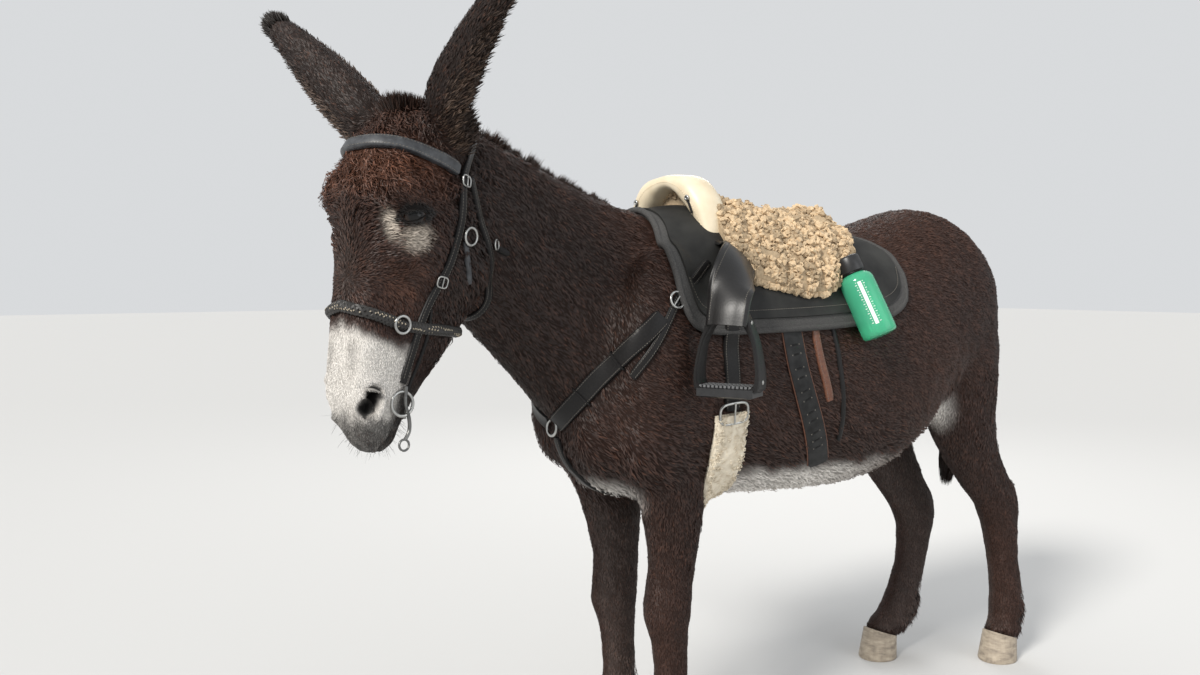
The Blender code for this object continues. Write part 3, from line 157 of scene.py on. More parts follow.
def object_from_arrays(name, points, corners, sizes):
    """A mesh object from arrays: points, the corners of all faces in a row, and each face's count."""
    data = bpy.data.meshes.new(name)
    data.vertices.add(len(points))
    data.vertices.foreach_set("co", np.ascontiguousarray(points, np.float32).ravel())
    data.loops.add(len(corners))
    data.loops.foreach_set("vertex_index", np.ascontiguousarray(corners, np.int32))
    data.polygons.add(len(sizes))
    starts = np.concatenate(([0], np.cumsum(sizes)[:-1]))
    data.polygons.foreach_set("loop_start", starts.astype(np.int32))
    data.update(calc_edges=True)
    data.shade_smooth()
    return new_object(name, data)


def read_rows(items, key, columns=3, kind=np.float32):
    """One value of every item of a mesh, a row each."""
    rows = np.empty(len(items) * columns, kind)
    items.foreach_get(key, rows)
    return rows.reshape(-1, columns)


def coordinates(data):
    return read_rows(data.vertices, "co").astype(float)


def vertex_normals(data):
    return read_rows(data.vertex_normals, "vector").astype(float)


def edge_array(data):
    return read_rows(data.edges, "vertices", 2, np.int32)


def face_table(data):
    data.calc_loop_triangles()
    return read_rows(data.loop_triangles, "vertices", 3, np.int32)


def place_points(data, points):
    data.vertices.foreach_set("co", np.ascontiguousarray(points, np.float32).ravel())
    data.update()


def averaged(values, edges, count):
    """Each vertex's mean over its neighbours, for an array of one row a vertex."""
    total = np.stack(
        [
            np.bincount(edges[:, 0], values[edges[:, 1], k], count)
            + np.bincount(edges[:, 1], values[edges[:, 0], k], count)
            for k in range(values.shape[1])
        ],
        axis=1,
    )
    degree = np.bincount(edges.ravel(), minlength=count)
    return total / np.maximum(degree, 1)[:, None]


def softened(points, edges, rounds, share, shrink_back=0.0):
    """Laplacian smoothing with a share for each vertex, and a Taubin step back."""
    count = len(points)
    for _ in range(rounds):
        points = points + (averaged(points, edges, count) - points) * share[:, None]
        if shrink_back:
            points = points - (averaged(points, edges, count) - points) * share[:, None] * shrink_back
    return points


def settled(values, edges, rounds, share):
    """Values that spread to their neighbours, a share in each round."""
    for _ in range(rounds):
        values = mix(values, averaged(values, edges, len(values)), share)
    return values


def applied(obj):
    graph = bpy.context.evaluated_depsgraph_get()
    data = bpy.data.meshes.new_from_object(obj.evaluated_get(graph))
    obj.modifiers.clear()
    obj.data = data
    return obj


def tree_of(objects):
    mesh = bmesh.new()
    for obj in objects:
        mesh.from_mesh(obj.data)
    tree = BVHTree.FromBMesh(mesh)
    mesh.free()
    return tree


def new_material(name):
    made = bpy.data.materials.new(name)
    made.use_nodes = True
    shader = made.node_tree.nodes["Principled BSDF"]
    return made, made.node_tree, shader


def set_inputs(shader, **values):
    for key, value in values.items():
        shader.inputs[key.replace("_", " ")].default_value = value


def noise_node(tree, scale, detail=4.0, rough=0.55, stretch=None):
    """Noise over the object's own coordinates."""
    place = tree.nodes.new("ShaderNodeTexCoord")
    made = tree.nodes.new("ShaderNodeTexNoise")
    made.inputs["Scale"].default_value = scale
    made.inputs["Detail"].default_value = detail
    made.inputs["Roughness"].default_value = rough
    source = place.outputs["Object"]
    if stretch:
        mapping = tree.nodes.new("ShaderNodeMapping")
        mapping.inputs["Scale"].default_value = stretch
        tree.links.new(source, mapping.inputs["Vector"])
        source = mapping.outputs["Vector"]
    tree.links.new(source, made.inputs["Vector"])
    return made


def ramp_node(tree, source, stops):
    """A colour ramp over a value; stops are (place, colour)."""
    made = tree.nodes.new("ShaderNodeValToRGB")
    ramp = made.color_ramp
    for i, (place, colour) in enumerate(stops):
        stop = ramp.elements[i] if i < 2 else ramp.elements.new(place)
        stop.position = place
        stop.color = (*colour, 1.0)
    tree.links.new(source, made.inputs["Fac"])
    return made


def bump_node(tree, shader, source, strength, distance):
    made = tree.nodes.new("ShaderNodeBump")
    made.inputs["Strength"].default_value = strength
    made.inputs["Distance"].default_value = distance
    tree.links.new(source, made.inputs["Height"])
    tree.links.new(made.outputs["Normal"], shader.inputs["Normal"])


def math_node(tree, kind, *values):
    """A sum or product; each value is a number or another node's output."""
    made = tree.nodes.new("ShaderNodeMath")
    made.operation = kind
    for socket, value in zip(made.inputs, values):
        if isinstance(value, float):
            socket.default_value = value
        else:
            tree.links.new(value, socket)
    return made.outputs[0]


def plain_material(name, dark, light, rough, scale, bump_by, **values):
    """A solid stuff with a fine variation between two colours and a matching bump."""
    made, tree, shader = new_material(name)
    grain = noise_node(tree, scale)
    ramp = ramp_node(tree, grain.outputs["Fac"], ((0.3, dark), (0.7, light)))
    tree.links.new(ramp.outputs["Color"], shader.inputs["Base Color"])
    set_inputs(shader, Roughness=rough, **values)
    if bump_by:
        bump_node(tree, shader, grain.outputs["Fac"], bump_by, 0.001)
    return made


def painted(obj, mat):
    obj.data.materials.clear()
    obj.data.materials.append(mat)
    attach(obj, "root")
    return obj


def spread(points, step):
    """A smooth course through points, with a sample about every step."""
    points = [Vector(point) for point in points]
    fine = []
    for i in range(len(points) - 1):
        a, b = points[max(i - 1, 0)], points[i]
        c, d = points[i + 1], points[min(i + 2, len(points) - 1)]
        for k in range(12):
            t = k / 12
            fine.append(0.5 * (2 * b + (c - a) * t + (2 * a - 5 * b + 4 * c - d) * t**2
                               + (3 * b - a - 3 * c + d) * t**3))
    fine.append(points[-1])
    lengths = [0.0]
    for a, b in zip(fine, fine[1:]):
        lengths.append(lengths[-1] + (b - a).length)
    count = max(2, round(lengths[-1] / step) + 1)
    made = []
    j = 0
    for i in range(count):
        want = lengths[-1] * i / (count - 1)
        while j < len(fine) - 2 and lengths[j + 1] < want:
            j += 1
        gap = lengths[j + 1] - lengths[j]
        made.append(fine[j].lerp(fine[j + 1], (want - lengths[j]) / gap if gap else 0.0))
    return made


# The sizes and colours that a user would change


def colour_property(name, description, default):
    return bpy.props.FloatVectorProperty(
        name=name, description=description, subtype="COLOR", default=default, min=0, max=1
    )


class DonkeyCoat(bpy.types.PropertyGroup):
    body: colour_property("Body", "Main colour of the coat", (0.034, 0.015, 0.01))
    # dark is also laid on the neck and jaw as painted shade, and red on upward faces and the near flank as a
    # painted sunlit highlight
    dark: colour_property("Dark", "Colour of mane, legs' backs and ears", (0.0125, 0.0078, 0.0062))
    red: colour_property("Red", "Sun-bleached hair tips", (0.105, 0.0405, 0.021))
    pale: colour_property("Pale", "Muzzle and belly", (0.84, 0.8, 0.75))
    length: bpy.props.FloatProperty(
        name="Length", description="Length of the coat on the body", subtype="DISTANCE", unit="LENGTH",
        default=0.012, min=0.004, max=0.06,
    )
    tufts: bpy.props.IntProperty(
        name="Tufts", description="Tufts of the short coat", default=330000, min=1000, max=480000
    )


class DonkeyTack(bpy.types.PropertyGroup):
    leather: colour_property("Leather", "Black leather", (0.0065, 0.006, 0.006))
    fleece: colour_property("Fleece", "Sheepskin of the seat", (0.66, 0.5, 0.32))
    bottle: colour_property("Bottle", "Plastic of the bottle", (0.09, 0.56, 0.32))


class DonkeyStage(bpy.types.PropertyGroup):
    lens: bpy.props.FloatProperty(
        name="Lens", description="Camera lens in millimetres", default=30.12, min=10, max=200
    )
    floor: colour_property("Floor", "Colour of the floor", (0.58, 0.58, 0.575))


# Skin: one surface over every flesh node, worked in code


SKIN = {}


def flesh_mesh():
    """The flesh nodes and the eyeballs as one closed mesh."""
    mesh = bmesh.new()
    for name in FLESH + ("eye_left", "eye_right"):
        start = len(mesh.verts)
        mesh.from_mesh(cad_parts[name].data)
        if name.startswith("ear"):
            mesh.normal_update()
            for vert in mesh.verts[start:]:
                vert.co += vert.normal * EAR_PLUMP
    data = bpy.data.meshes.new("skin")
    mesh.to_mesh(data)
    mesh.free()
    obj = new_object("skin", data)
    remesh = obj.modifiers.new("one_skin", "REMESH")
    remesh.mode = "VOXEL"
    remesh.voxel_size = SKIN_VOXEL
    return applied(obj)


def regions_of(points):
    """Which flesh node each point belongs to."""
    mesh = bmesh.new()
    marks = []
    for number, name in enumerate(FLESH):
        mesh.from_mesh(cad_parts[name].data)
        mesh.faces.ensure_lookup_table()
        marks += [number] * (len(mesh.faces) - len(marks))
    tree = BVHTree.FromBMesh(mesh)
    mesh.free()
    return np.array([marks[tree.find_nearest(Vector(point))[2]] for point in points])


CREST = (
    (0.09, -0.565, 1.592), (0.07, -0.5, 1.578), (0.042, -0.4, 1.545), (0.018, -0.28, 1.5),
    (0.004, -0.16, 1.463), (0.000, -0.05, 1.442),
)


def distance_to_course(points, course):
    """Distance from each point to a chain of straight stretches."""
    best = np.full(len(points), 9.0)
    for a, b in zip(course, course[1:]):
        a, b = np.array(a), np.array(b)
        along = np.clip(((points - a) @ (b - a)) / ((b - a) @ (b - a)), 0, 1)
        best = np.minimum(best, np.linalg.norm(points - a - along[:, None] * (b - a), axis=1))
    return best


LID_HALF = 0.0255
UPPER_LID = 0.0056
LOWER_LID = 0.0076


def eye_middle(side):
    return head_point(side * EYE_PLACE[0], EYE_PLACE[1], EYE_PLACE[2])


def eye_way(side):
    return HEAD_LEFT * side * 0.86 + FACE_OUT * 0.5 + DOWN_FACE * 0.06


def eye_axes(side):
    """The eyeball's centre, the way it looks, the way from outer to inner corner, and up."""
    looks = unit(np.array(eye_way(side)))
    along = np.array(DOWN_FACE * 0.3 + FACE_OUT * 0.83)
    along = unit(along - along @ looks * looks)
    up = np.cross(looks, along)
    return np.array(eye_middle(side)), looks, along, up * (1 if up @ TO_NOSE < 0 else -1)


def ear_ways(side):
    """The way an ear runs to its tip, and the way its cup opens."""
    sideways = 0.29 if side > 0 else 0.33
    tip = unit(TO_LEFT * side * sideways + TO_FRONT * 0.04 + (0, 0, 0.285))
    return tip, unit(TO_LEFT * side * 0.8 - TO_FRONT * 0.6)


def lid_edges(a):
    """How high the upper and the lower lid's edges run at a place along the eye."""
    t = np.clip(a / LID_HALF, -1, 1)
    full = (1 - t * t) ** 0.8
    return full * UPPER_LID + 0.0006 + 0.0016 * t, -full * LOWER_LID - 0.002 * t


def sculpt_eye(points, side):
    """Lids drawn over the eyeball, open in an almond, with a heavy fold above."""
    centre, looks, along, up = eye_axes(side)
    rel = points - centre
    near = np.linalg.norm(rel, axis=1) < 0.06
    a, u, f = rel @ along, rel @ up, rel @ looks
    facing = f > -0.006
    top, low = lid_edges(a)
    open_by = np.minimum(top - u, u - low)
    inside = near & facing & (np.abs(a) < LID_HALF) & (open_by > 0)
    lid = near & facing & ~inside
    cover = bump(np.hypot(a / 1.25, u), 0.038)
    rim = np.exp(-((np.maximum(-open_by, 0) - 0.0012) / 0.003) ** 2)
    want = EYE_RADIUS + 0.002 + 0.003 * rim + 0.0022 * smoothstep(-0.002, 0.004, u)
    fold = 0.003 * np.exp(-((u - top - 0.008) / 0.002) ** 2) * (np.abs(a) < 0.027)
    fold += 0.0016 * np.exp(-((low - u - 0.007) / 0.002) ** 2) * (np.abs(a) < 0.024)
    hood = 0.005 * np.exp(-((u - top - 0.015) / 0.006) ** 2) * (np.abs(a) < 0.034)
    target = centre + unit(rel) * (want - fold + hood)[:, None]
    new = points.copy()
    new[lid] = mix(points[lid], target[lid], cover[lid][:, None])
    new[inside] = (centre + unit(rel) * (EYE_RADIUS * 0.88))[inside]
    return new


NOSTRIL_WING = np.array(
    ((0.046, 0.548, -0.02), (0.064, 0.552, -0.046), (0.072, 0.58, -0.064), (0.064, 0.612, -0.06))
)
NOSTRIL_PIT = np.array(((0.064, 0.566, -0.044), (0.062, 0.585, -0.042), (0.056, 0.602, -0.034)))
CHEEK_CREST = np.array(((0.104, 0.285, -0.105), (0.092, 0.38, -0.09)))
HEAD_FORMS = (
    # middle, half sizes, height: brow, hollow of the cheek, hollow of the jaw, hollow over the eye
    ((0.09, 0.172, -0.02), (0.036, 0.02, 0.034), 0.0045),
    ((0.08, 0.33, -0.04), (0.03, 0.06, 0.03), -0.0035),
    ((0.075, 0.37, -0.19), (0.04, 0.07, 0.05), -0.004),
    ((0.088, 0.12, -0.06), (0.03, 0.03, 0.03), -0.006),
)
LIPS = (
    (0.066, 0.575, -0.13), (0.056, 0.63, -0.112), (0.03, 0.668, -0.108), (0.0, 0.674, -0.108),
    (-0.03, 0.668, -0.108), (-0.056, 0.63, -0.112), (-0.066, 0.575, -0.13),
)


def nostril_reach(local, side):
    """Distance from a nostril's opening or from the hollow behind it."""
    inward = np.array((-0.8 * side, -0.15, -0.55))
    courses = [NOSTRIL_PIT * (side, 1, 1) + inward * deep for deep in (0.0, 0.009, 0.018, 0.027)]
    return np.minimum.reduce([distance_to_course(local, course) for course in courses])


def sculpt_head(points, normals):
    """Brow, cheek, nostrils, lips and chin."""
    for side in (1, -1):
        points = sculpt_eye(points, side)
    local = in_head(points)
    on_head = (np.abs(local[:, 0]) < 0.12) & (local[:, 1] < 0.75)
    on_head &= (local[:, 2] > -0.22) & (local[:, 2] < 0.08)
    local[:, 0] *= 1 - 0.16 * smoothstep(0.575, 0.68, local[:, 1]) * on_head
    back = smoothstep(0.57, 0.69, local[:, 1]) * smoothstep(-0.11, -0.02, local[:, 2])
    local[:, 2] -= 0.03 * back * on_head
    points = np.array(CROWN) + local @ HEAD_AXES
    left, down, out = local.T
    push = np.zeros(len(points))
    for side in (1, -1):
        flip = (side, 1, 1)
        own = left * side > 0
        for middle, sizes, height in HEAD_FORMS:
            push += within(local, np.array(middle) * flip, sizes) * height
        push += bump(distance_to_course(local, CHEEK_CREST * flip), 0.022) * 0.004
        push += bump(distance_to_course(local, NOSTRIL_WING * flip), 0.016) * 0.0085 * own
        push -= bump(distance_to_course(local, NOSTRIL_PIT * flip), 0.0205) * 0.036 * own
    lips = distance_to_course(local, LIPS)
    push -= bump(lips, 0.0085) * 0.013
    push += bump(np.abs(lips - 0.013), 0.008) * 0.003
    philtrum = np.abs(left) + 0.6 * np.abs(down - 0.64) + 0.6 * np.abs(out + 0.03)
    push -= bump(philtrum, 0.03) * 0.003
    return points + normals * push[:, None]


MUSCLES = (
    # end, end, radius, height: bands that stand proud or lie in
    ((0.17, -0.075, 1.32), (0.235, -0.14, 0.98), 0.05, 0.006),
    ((0.15, 0.06, 1.38), (0.262, 0.02, 1.1), 0.045, -0.005),
    ((0.23, -0.08, 1.00), (0.205, 0.055, 0.92), 0.06, 0.008),
    ((0.18, 0.075, 0.86), (0.25, 0.23, 0.9), 0.05, -0.007),
    ((0.15, -0.03, 0.76), (0.13, 0.000, 0.58), 0.045, 0.005),
    ((0.2, 0.88, 1.1), (0.235, 0.98, 0.9), 0.06, -0.01),
    ((0.23, 1.02, 1.2), (0.215, 1.05, 0.95), 0.06, 0.007),
    ((0.19, 1.27, 1.28), (0.18, 1.33, 0.98), 0.04, -0.005),
    ((0.16, 1.21, 1.36), (0.22, 1.16, 1.15), 0.06, 0.006),
    ((0.12, -0.24, 1.28), (0.06, -0.23, 1.02), 0.03, -0.006),
    ((0.09, -0.42, 1.42), (0.16, -0.23, 1.18), 0.045, 0.005),
)


def sculpt_body(points, normals):
    """Shoulder, elbow, flank and haunch as soft bands on both sides."""
    place = points - HOME
    push = np.zeros(len(points))
    for a, b, radius, height in MUSCLES:
        for side in (1, -1):
            course = [(x * side, y, z) for x, y, z in (a, b)]
            push += bump(distance_to_course(place, course), radius) * height
    return points + normals * push[:, None]


def refined(obj, chosen):
    """Subdivides the chosen vertices' faces once."""
    mesh = bmesh.new()
    mesh.from_mesh(obj.data)
    mesh.verts.ensure_lookup_table()
    edges = [edge for edge in mesh.edges if chosen[edge.verts[0].index] and chosen[edge.verts[1].index]]
    bmesh.ops.subdivide_edges(mesh, edges=edges, cuts=1, use_grid_fill=True)
    bmesh.ops.triangulate(mesh, faces=[face for face in mesh.faces if len(face.verts) > 4])
    mesh.to_mesh(obj.data)
    mesh.free()
    obj.data.update()


def make_skin():
    """The skin with its details."""
    obj = flesh_mesh()
    points = coordinates(obj.data)
    edges = edge_array(obj.data)
    local = in_head(points)
    region = regions_of(points)
    head = region == HEAD
    ears = region >= FLESH.index("ear_left")
    place = points - HOME
    tail = (region == FLESH.index("tail")) & (place[:, 2] < 1.06)
    over_crest = [(x, y, z + 0.03) for x, y, z in CREST]
    mane = (distance_to_course(place, over_crest) < 0.052) & (region == FLESH.index("neck"))
    tuft = head & (local[:, 1] < 0.035) & (np.abs(local[:, 0]) < 0.07)
    thin = np.where(tail | mane | tuft, 0.6, 0.0)
    thin = np.maximum(thin, averaged(thin[:, None], edges, len(points))[:, 0])
    points = softened(points, edges, 60, thin)
    share = np.where(head | ears, 0.0, 0.55)
    for _ in range(3):
        share = averaged(share[:, None], edges, len(points))[:, 0]
    points = softened(points, edges, 8, np.full(len(points), 0.5), 0.7)
    points = softened(points, edges, 22, share, 0.75)
    place_points(obj.data, points)
    place_points(obj.data, sculpt_body(points, vertex_normals(obj.data)))
    # the head is made finer, and its eyes, nostrils and lips finer still
    refined(obj, head & (local[:, 1] > 0.02))
    local = in_head(coordinates(obj.data))
    fine = (local[:, 1] > 0.6) & (local[:, 2] < -0.085)
    for side, _ in SIDES:
        for (left, down, out), radius in ((EYE_PLACE, 0.048), ((0.062, 0.592, -0.038), 0.04)):
            fine |= np.linalg.norm(local - (side * left, down, out), axis=1) < radius
    refined(obj, fine & (np.abs(local[:, 0]) < 0.16) & (local[:, 1] < 0.72) & (local[:, 2] > -0.2))
    points = coordinates(obj.data)
    edges = edge_array(obj.data)
    local = in_head(points)
    head = smoothstep(0.0, 0.05, local[:, 1]) * (np.abs(local[:, 0]) < 0.15) * (local[:, 2] > -0.33)
    points = softened(points, edges, 3, np.where(head > 0.5, 0.5, 0.0))
    place_points(obj.data, points)
    points = sculpt_head(points, vertex_normals(obj.data))
    local = in_head(points)
    nostrils = sum(bump(nostril_reach(local, side), 0.032) for side, _ in SIDES)
    place_points(obj.data, softened(points, edges, 3, np.clip(nostrils, 0, 0.55)))
    return obj


# Coat on the skin: what is known of each vertex


LIES = (
    ("torso", (0, 1.0, -0.5)),
    ("neck", (0, 0.7, -0.72)),
    ("legs", (0, 0.1, -1.0)),
    ("tail", (0, 0.05, -1.0)),
)
WHORL = (0.0, 0.35, 0.0)
EAR_LINING = (0.06, 0.043, 0.035)
NOSE_BROWN = (0.05, 0.036, 0.03)
BELLY_GREY = (0.2, 0.17, 0.15)
CREAM_RING = (0.57, 0.5, 0.42)
# dark lid skin, spread wider round the eye as painted shade of the lashes
LID_SKIN_AND_LASH_SHADE = (0.013, 0.011, 0.01)
MUZZLE_GREY = (0.04, 0.036, 0.034)
# painted shade inside the nostrils and along the mouth's crease
PAINTED_HOLE_SHADE = (0.004, 0.0035, 0.0035)


def coat_lie(skin, part):
    """Which way the hair lies: back and down the body, and out from a whorl on the face."""
    normals, local = skin["normals"], skin["local"]
    left, down, _ = local.T
    lie = sum(np.outer(part[key], way) for key, way in LIES)
    whorl = local - WHORL
    from_whorl = unit(whorl * (1.0, 1.0, 0.0)) @ HEAD_AXES
    near_whorl = 0.9 * bump(np.linalg.norm(whorl, axis=1), 0.3)
    to_poll = np.broadcast_to(TO_NOSE * 0.75 - TO_FRONT * 0.55, local.shape)
    face = mix(to_poll, from_whorl, near_whorl[:, None])
    to_lips = TO_NOSE + TO_LEFT * np.sign(left)[:, None] * 0.3
    face = mix(face, to_lips, smoothstep(0.42, 0.52, down)[:, None])
    lie += face * part["head"][:, None]
    for side, name in SIDES:
        lie += np.outer(part["ear_" + name], ear_ways(side)[0])
    lie = settled(lie, skin["edges"], 10, 0.6)
    return unit(lie - (lie * normals).sum(1, keepdims=True) * normals)


def eye_frame(points, side):
    """Places seen from an eye: toward the inner corner, up and outward."""
    centre, looks, along, up = eye_axes(side)
    rel = points - centre
    return rel @ along, rel @ up, rel @ looks


def coat_length(skin, part, on_body):
    """How long the hair is, the sine of the angle it stands at, and where it is bare."""
    points, normals, local = skin["points"], skin["normals"], skin["local"]
    z = skin["place"][:, 2]
    _, down, out = local.T
    belly = smoothstep(0.96, 0.8, z) * part["torso"]
    feather = part["legs"] * smoothstep(0.02, 0.06, normals[:, 1]) * smoothstep(0.26, 0.2, z)
    length = np.full(len(points), on_body) + belly * 0.01
    length = mix(length, 0.013, part["neck"] * 0.6)
    length = mix(length, mix(0.012, 0.0075, smoothstep(0.75, 0.45, z)), part["legs"])
    length = mix(length, 0.022, feather * smoothstep(0.085, 0.12, z))
    face = mix(0.0185, 0.0095, smoothstep(0.2, 0.34, down))
    face = mix(face, 0.004, smoothstep(0.4, 0.5, down))
    bare = np.zeros(len(points))
    for side, _ in SIDES:
        a, u, f = eye_frame(points, side)
        away = np.hypot(a / 1.4, u - 0.003) + 9.0 * (f < -0.01)
        face = mix(face, 0.0045, bump(away, 0.055))
        bare = np.maximum(bare, smoothstep(0.0235, 0.0175, away))
        bare = np.maximum(bare, smoothstep(0.0155, 0.0125, nostril_reach(local, side)))
    face = mix(face, 0.022, smoothstep(-0.18, -0.26, out) * smoothstep(0.2, 0.3, down))
    length = mix(length, face, part["head"])
    length = mix(length, 0.0105, np.clip(part["ears"], 0, 1))
    length = mix(length, 0.016, part["tail"])
    lift = mix(np.full(len(points), 0.16), 0.4, part["head"] * smoothstep(0.34, 0.16, down))
    lift = mix(lift, 0.2, part["head"] * smoothstep(0.42, 0.52, down))
    lift += belly * 0.1 + feather * 0.2
    for cup in part["cups"]:
        length = mix(length, 0.014, cup)
        lift = mix(lift, 0.35, cup)
    return length, lift, bare


class Paint:
    """Colours laid over one another on the skin's vertices."""

    def __init__(self, base, count):
        self.shade = np.repeat(base[None, :], count, axis=0)

    def over(self, colour, share):
        self.shade = mix(self.shade, np.asarray(colour), share[:, None])


def coat_shade(skin, part, coat):
    """The coat's markings, with painted sunlit highlight and painted shade."""
    body, dark, red, pale = (np.array(value) for value in (coat.body, coat.dark, coat.red, coat.pale))
    normals, place, local = skin["normals"], skin["place"], skin["local"]
    head, torso, legs = part["head"], part["torso"], part["legs"]
    x, y, z = place.T
    left, down, out = local.T
    paint = Paint(body, len(place))
    # back and flank: red painted as a sunlit highlight on upward faces and on the near (left) flank
    paint.over(red, 0.22 * smoothstep(0.0, 0.9, normals[:, 2]))
    paint.over(red, 0.25 * within(place, (0.25, 0.95, 0.95), (0.25, 0.35, 0.3)))
    # painted shade: the front of the neck darkened as if in the head's shadow
    paint.over(dark * 1.25, 0.5 * part["neck"] * smoothstep(-0.02, -0.2, y))
    # forehead, cheeks and nose, and painted shade toward the jaw
    paint.over(red * 1.25, 0.75 * head * (bump(np.abs(down - 0.125), 0.085) * smoothstep(-0.16, -0.04, out)))
    cheeks = within(np.abs(local) * (1, 1, -1), (0.078, 0.345, -0.075), (0.07, 0.12, 0.08))
    paint.over(red * 0.9, 0.55 * head * cheeks * np.clip(0.75 + 0.35 * clump_field(place, 0.016), 0, 1))
    paint.over(NOSE_BROWN, 0.6 * head * within(local, (0.0, 0.32, 0.0), (0.05, 0.15, 0.1)))
    # painted shade: the head darkened behind the face line, toward jaw and throat
    paint.over(dark * 1.2, 0.6 * (head * smoothstep(-0.1, -0.2, out)))
    # legs, ears, tail and the stripe along the back
    paint.over(body * 1.25, legs * smoothstep(0.6, 0.35, z))
    paint.over(dark * 1.5, 0.8 * np.clip(part["ears"], 0, 1))
    paint.over(dark * 1.4, 0.6 * part["tail"] * smoothstep(1.25, 1.0, z))
    paint.over(dark, 0.5 * (bump(np.abs(x), 0.03) * (torso + part["neck"]) * smoothstep(1.2, 1.3, z)))
    # belly, groin, chest and the inside of the legs
    low = smoothstep(0.795, 0.755, z + 0.012 * clump_field(place, 0.03))
    under = low * torso * smoothstep(0.12, 0.26, y) * smoothstep(1.1, 0.85, y)
    paint.over(mix(np.array(BELLY_GREY), pale, smoothstep(0.8, 0.5, y)[:, None]), 0.95 * under)
    groin = within(np.abs(place), (0.165, 1.025, 0.865), (0.11, 0.13, 0.13))
    paint.over(pale * 0.95, np.clip(groin * 1.5, 0, 0.95))
    chest = within(place, (0.04, -0.11, 0.725), (0.14, 0.13, 0.085))
    paint.over(pale * 0.85, np.clip(chest * 1.3, 0, 0.9))
    inner = legs * smoothstep(0.0, -0.4, normals[:, 0] * np.sign(x)) * smoothstep(0.85, 0.6, z)
    paint.over(pale * 0.35, 0.1 * inner)
    # white muzzle, with soft grey painted shade over the nostrils to give it form
    ragged = 0.006 * clump_field(place, 0.014)
    white = smoothstep(0.424, 0.458, down - 0.26 * np.abs(left) + 0.14 * out + ragged)
    paint.over(pale, white * smoothstep(-0.128, -0.096, out + ragged) * head)
    painted_muzzle_shade = bump(np.abs(np.abs(left) - 0.034), 0.022) * bump(np.abs(down - 0.5), 0.06) * (out > -0.09)
    paint.over(pale * 0.45, 0.55 * painted_muzzle_shade * head)
    # cream ring of the eyes, and dark lids: lid skin, spread wider as painted shade of the lashes
    for side, _ in SIDES:
        a, u, f = eye_frame(skin["points"], side)
        front = f > -0.02
        corner = bump(np.hypot((a - 0.054) / 0.75, (u + 0.006) / 1.7), 0.026) * front
        below = bump(np.hypot((a - 0.004) / 1.35, u + 0.042), 0.039) * front
        paint.over(CREAM_RING, 0.85 * np.clip(corner * 1.5 + below * 1.15, 0, 1) * head)
        almond = 0.0235 * np.maximum(0.0, 1 - (a / 0.047) ** 2) ** 0.7
        lids_and_lash_shade = smoothstep(0.0035, -0.0035, np.abs(u - 0.003 + 0.05 * a) - almond)
        lids_and_lash_shade = lids_and_lash_shade * front * (np.abs(a) < 0.048)
        paint.over(LID_SKIN_AND_LASH_SHADE, 0.95 * lids_and_lash_shade * head)
    # nostrils, lips and chin: grey skin of lips and chin; painted shade in grey round the nostrils and in
    # black inside them and along the mouth's crease
    grey = np.zeros(len(place))
    black = bump(distance_to_course(local, LIPS), 0.0065) * 0.8
    below_wing = smoothstep(0.553, 0.563, down)
    for side, _ in SIDES:
        hole = nostril_reach(local, side)
        grey = np.maximum(grey, smoothstep(0.026, 0.012, hole) * 0.55 * below_wing)
        black = np.maximum(black, smoothstep(0.015, 0.0105, hole) * below_wing)
    lips = bump(np.abs(out + 0.11), 0.024) * smoothstep(0.53, 0.6, down)
    lips = smoothstep(0.6, 0.632, down - ragged) + lips
    chin = smoothstep(-0.1, -0.135, out) * smoothstep(0.5, 0.58, down)
    grey = np.maximum(grey, np.clip(lips + chin, 0, 1)) * (0.92 + 0.08 * clump_field(place, 0.012))
    upper_lip = smoothstep(0.662, 0.612, down) * smoothstep(-0.125, -0.085, out)
    paint.over(mix(np.array(MUZZLE_GREY), pale * 0.17, upper_lip[:, None]), 0.98 * grey * head)
    paint.over(PAINTED_HOLE_SHADE, black * head)
    for cup in part["cups"]:
        paint.over(EAR_LINING, 0.5 * cup)
    return settled(paint.shade, skin["edges"], 2, 0.5)


def coat_facts(obj, coat):
    """For each vertex of the skin: region weights, lie, length, colour and lift of the coat."""
    points, edges = coordinates(obj.data), edge_array(obj.data)
    weights = settled((regions_of(points)[:, None] == np.arange(len(FLESH))).astype(float), edges, 12, 0.7)
    skin = {"points": points, "normals": vertex_normals(obj.data), "edges": edges, "place": points - HOME,
            "local": in_head(points), "weights": weights, "region": np.argmax(weights, axis=1)}
    part = {key: weights[:, i] for i, key in enumerate(FLESH)}
    part["ears"] = part["ear_left"] + part["ear_right"]
    part["legs"] = part["foreleg_left"] + part["foreleg_right"] + part["hindleg_left"] + part["hindleg_right"]
    part["cups"] = [part["ear_" + name] * smoothstep(0.1, 0.6, skin["normals"] @ ear_ways(side)[1])
                    for side, name in SIDES]
    skin["lie"] = coat_lie(skin, part)
    skin["length"], skin["lift"], skin["bare"] = coat_length(skin, part, coat.length)
    skin["shade"] = coat_shade(skin, part, coat)
    return skin


def colour_layer(data, name, colours):
    """A colour for each vertex."""
    layer = data.color_attributes.new(name, "FLOAT_COLOR", "POINT")
    full = np.ones((len(colours), 4), np.float32)
    full[:, :3] = colours
    layer.data.foreach_set("color", full.ravel())


def hair_material(name, rough=0.54, gloss=0.36, grain=0.0):
    """Hair or skin that takes its colour from the coat's own colour layer."""
    made, tree, shader = new_material(name)
    layer = tree.nodes.new("ShaderNodeAttribute")
    layer.attribute_name = "coat"
    tree.links.new(layer.outputs["Color"], shader.inputs["Base Color"])
    set_inputs(shader, Roughness=rough, Specular_IOR_Level=gloss)
    if grain:
        fine = noise_node(tree, 260.0, 3.0, 0.6, (1.0, 1.0, 0.35))
        bump_node(tree, shader, fine.outputs["Fac"], grain, 0.002)
    return made


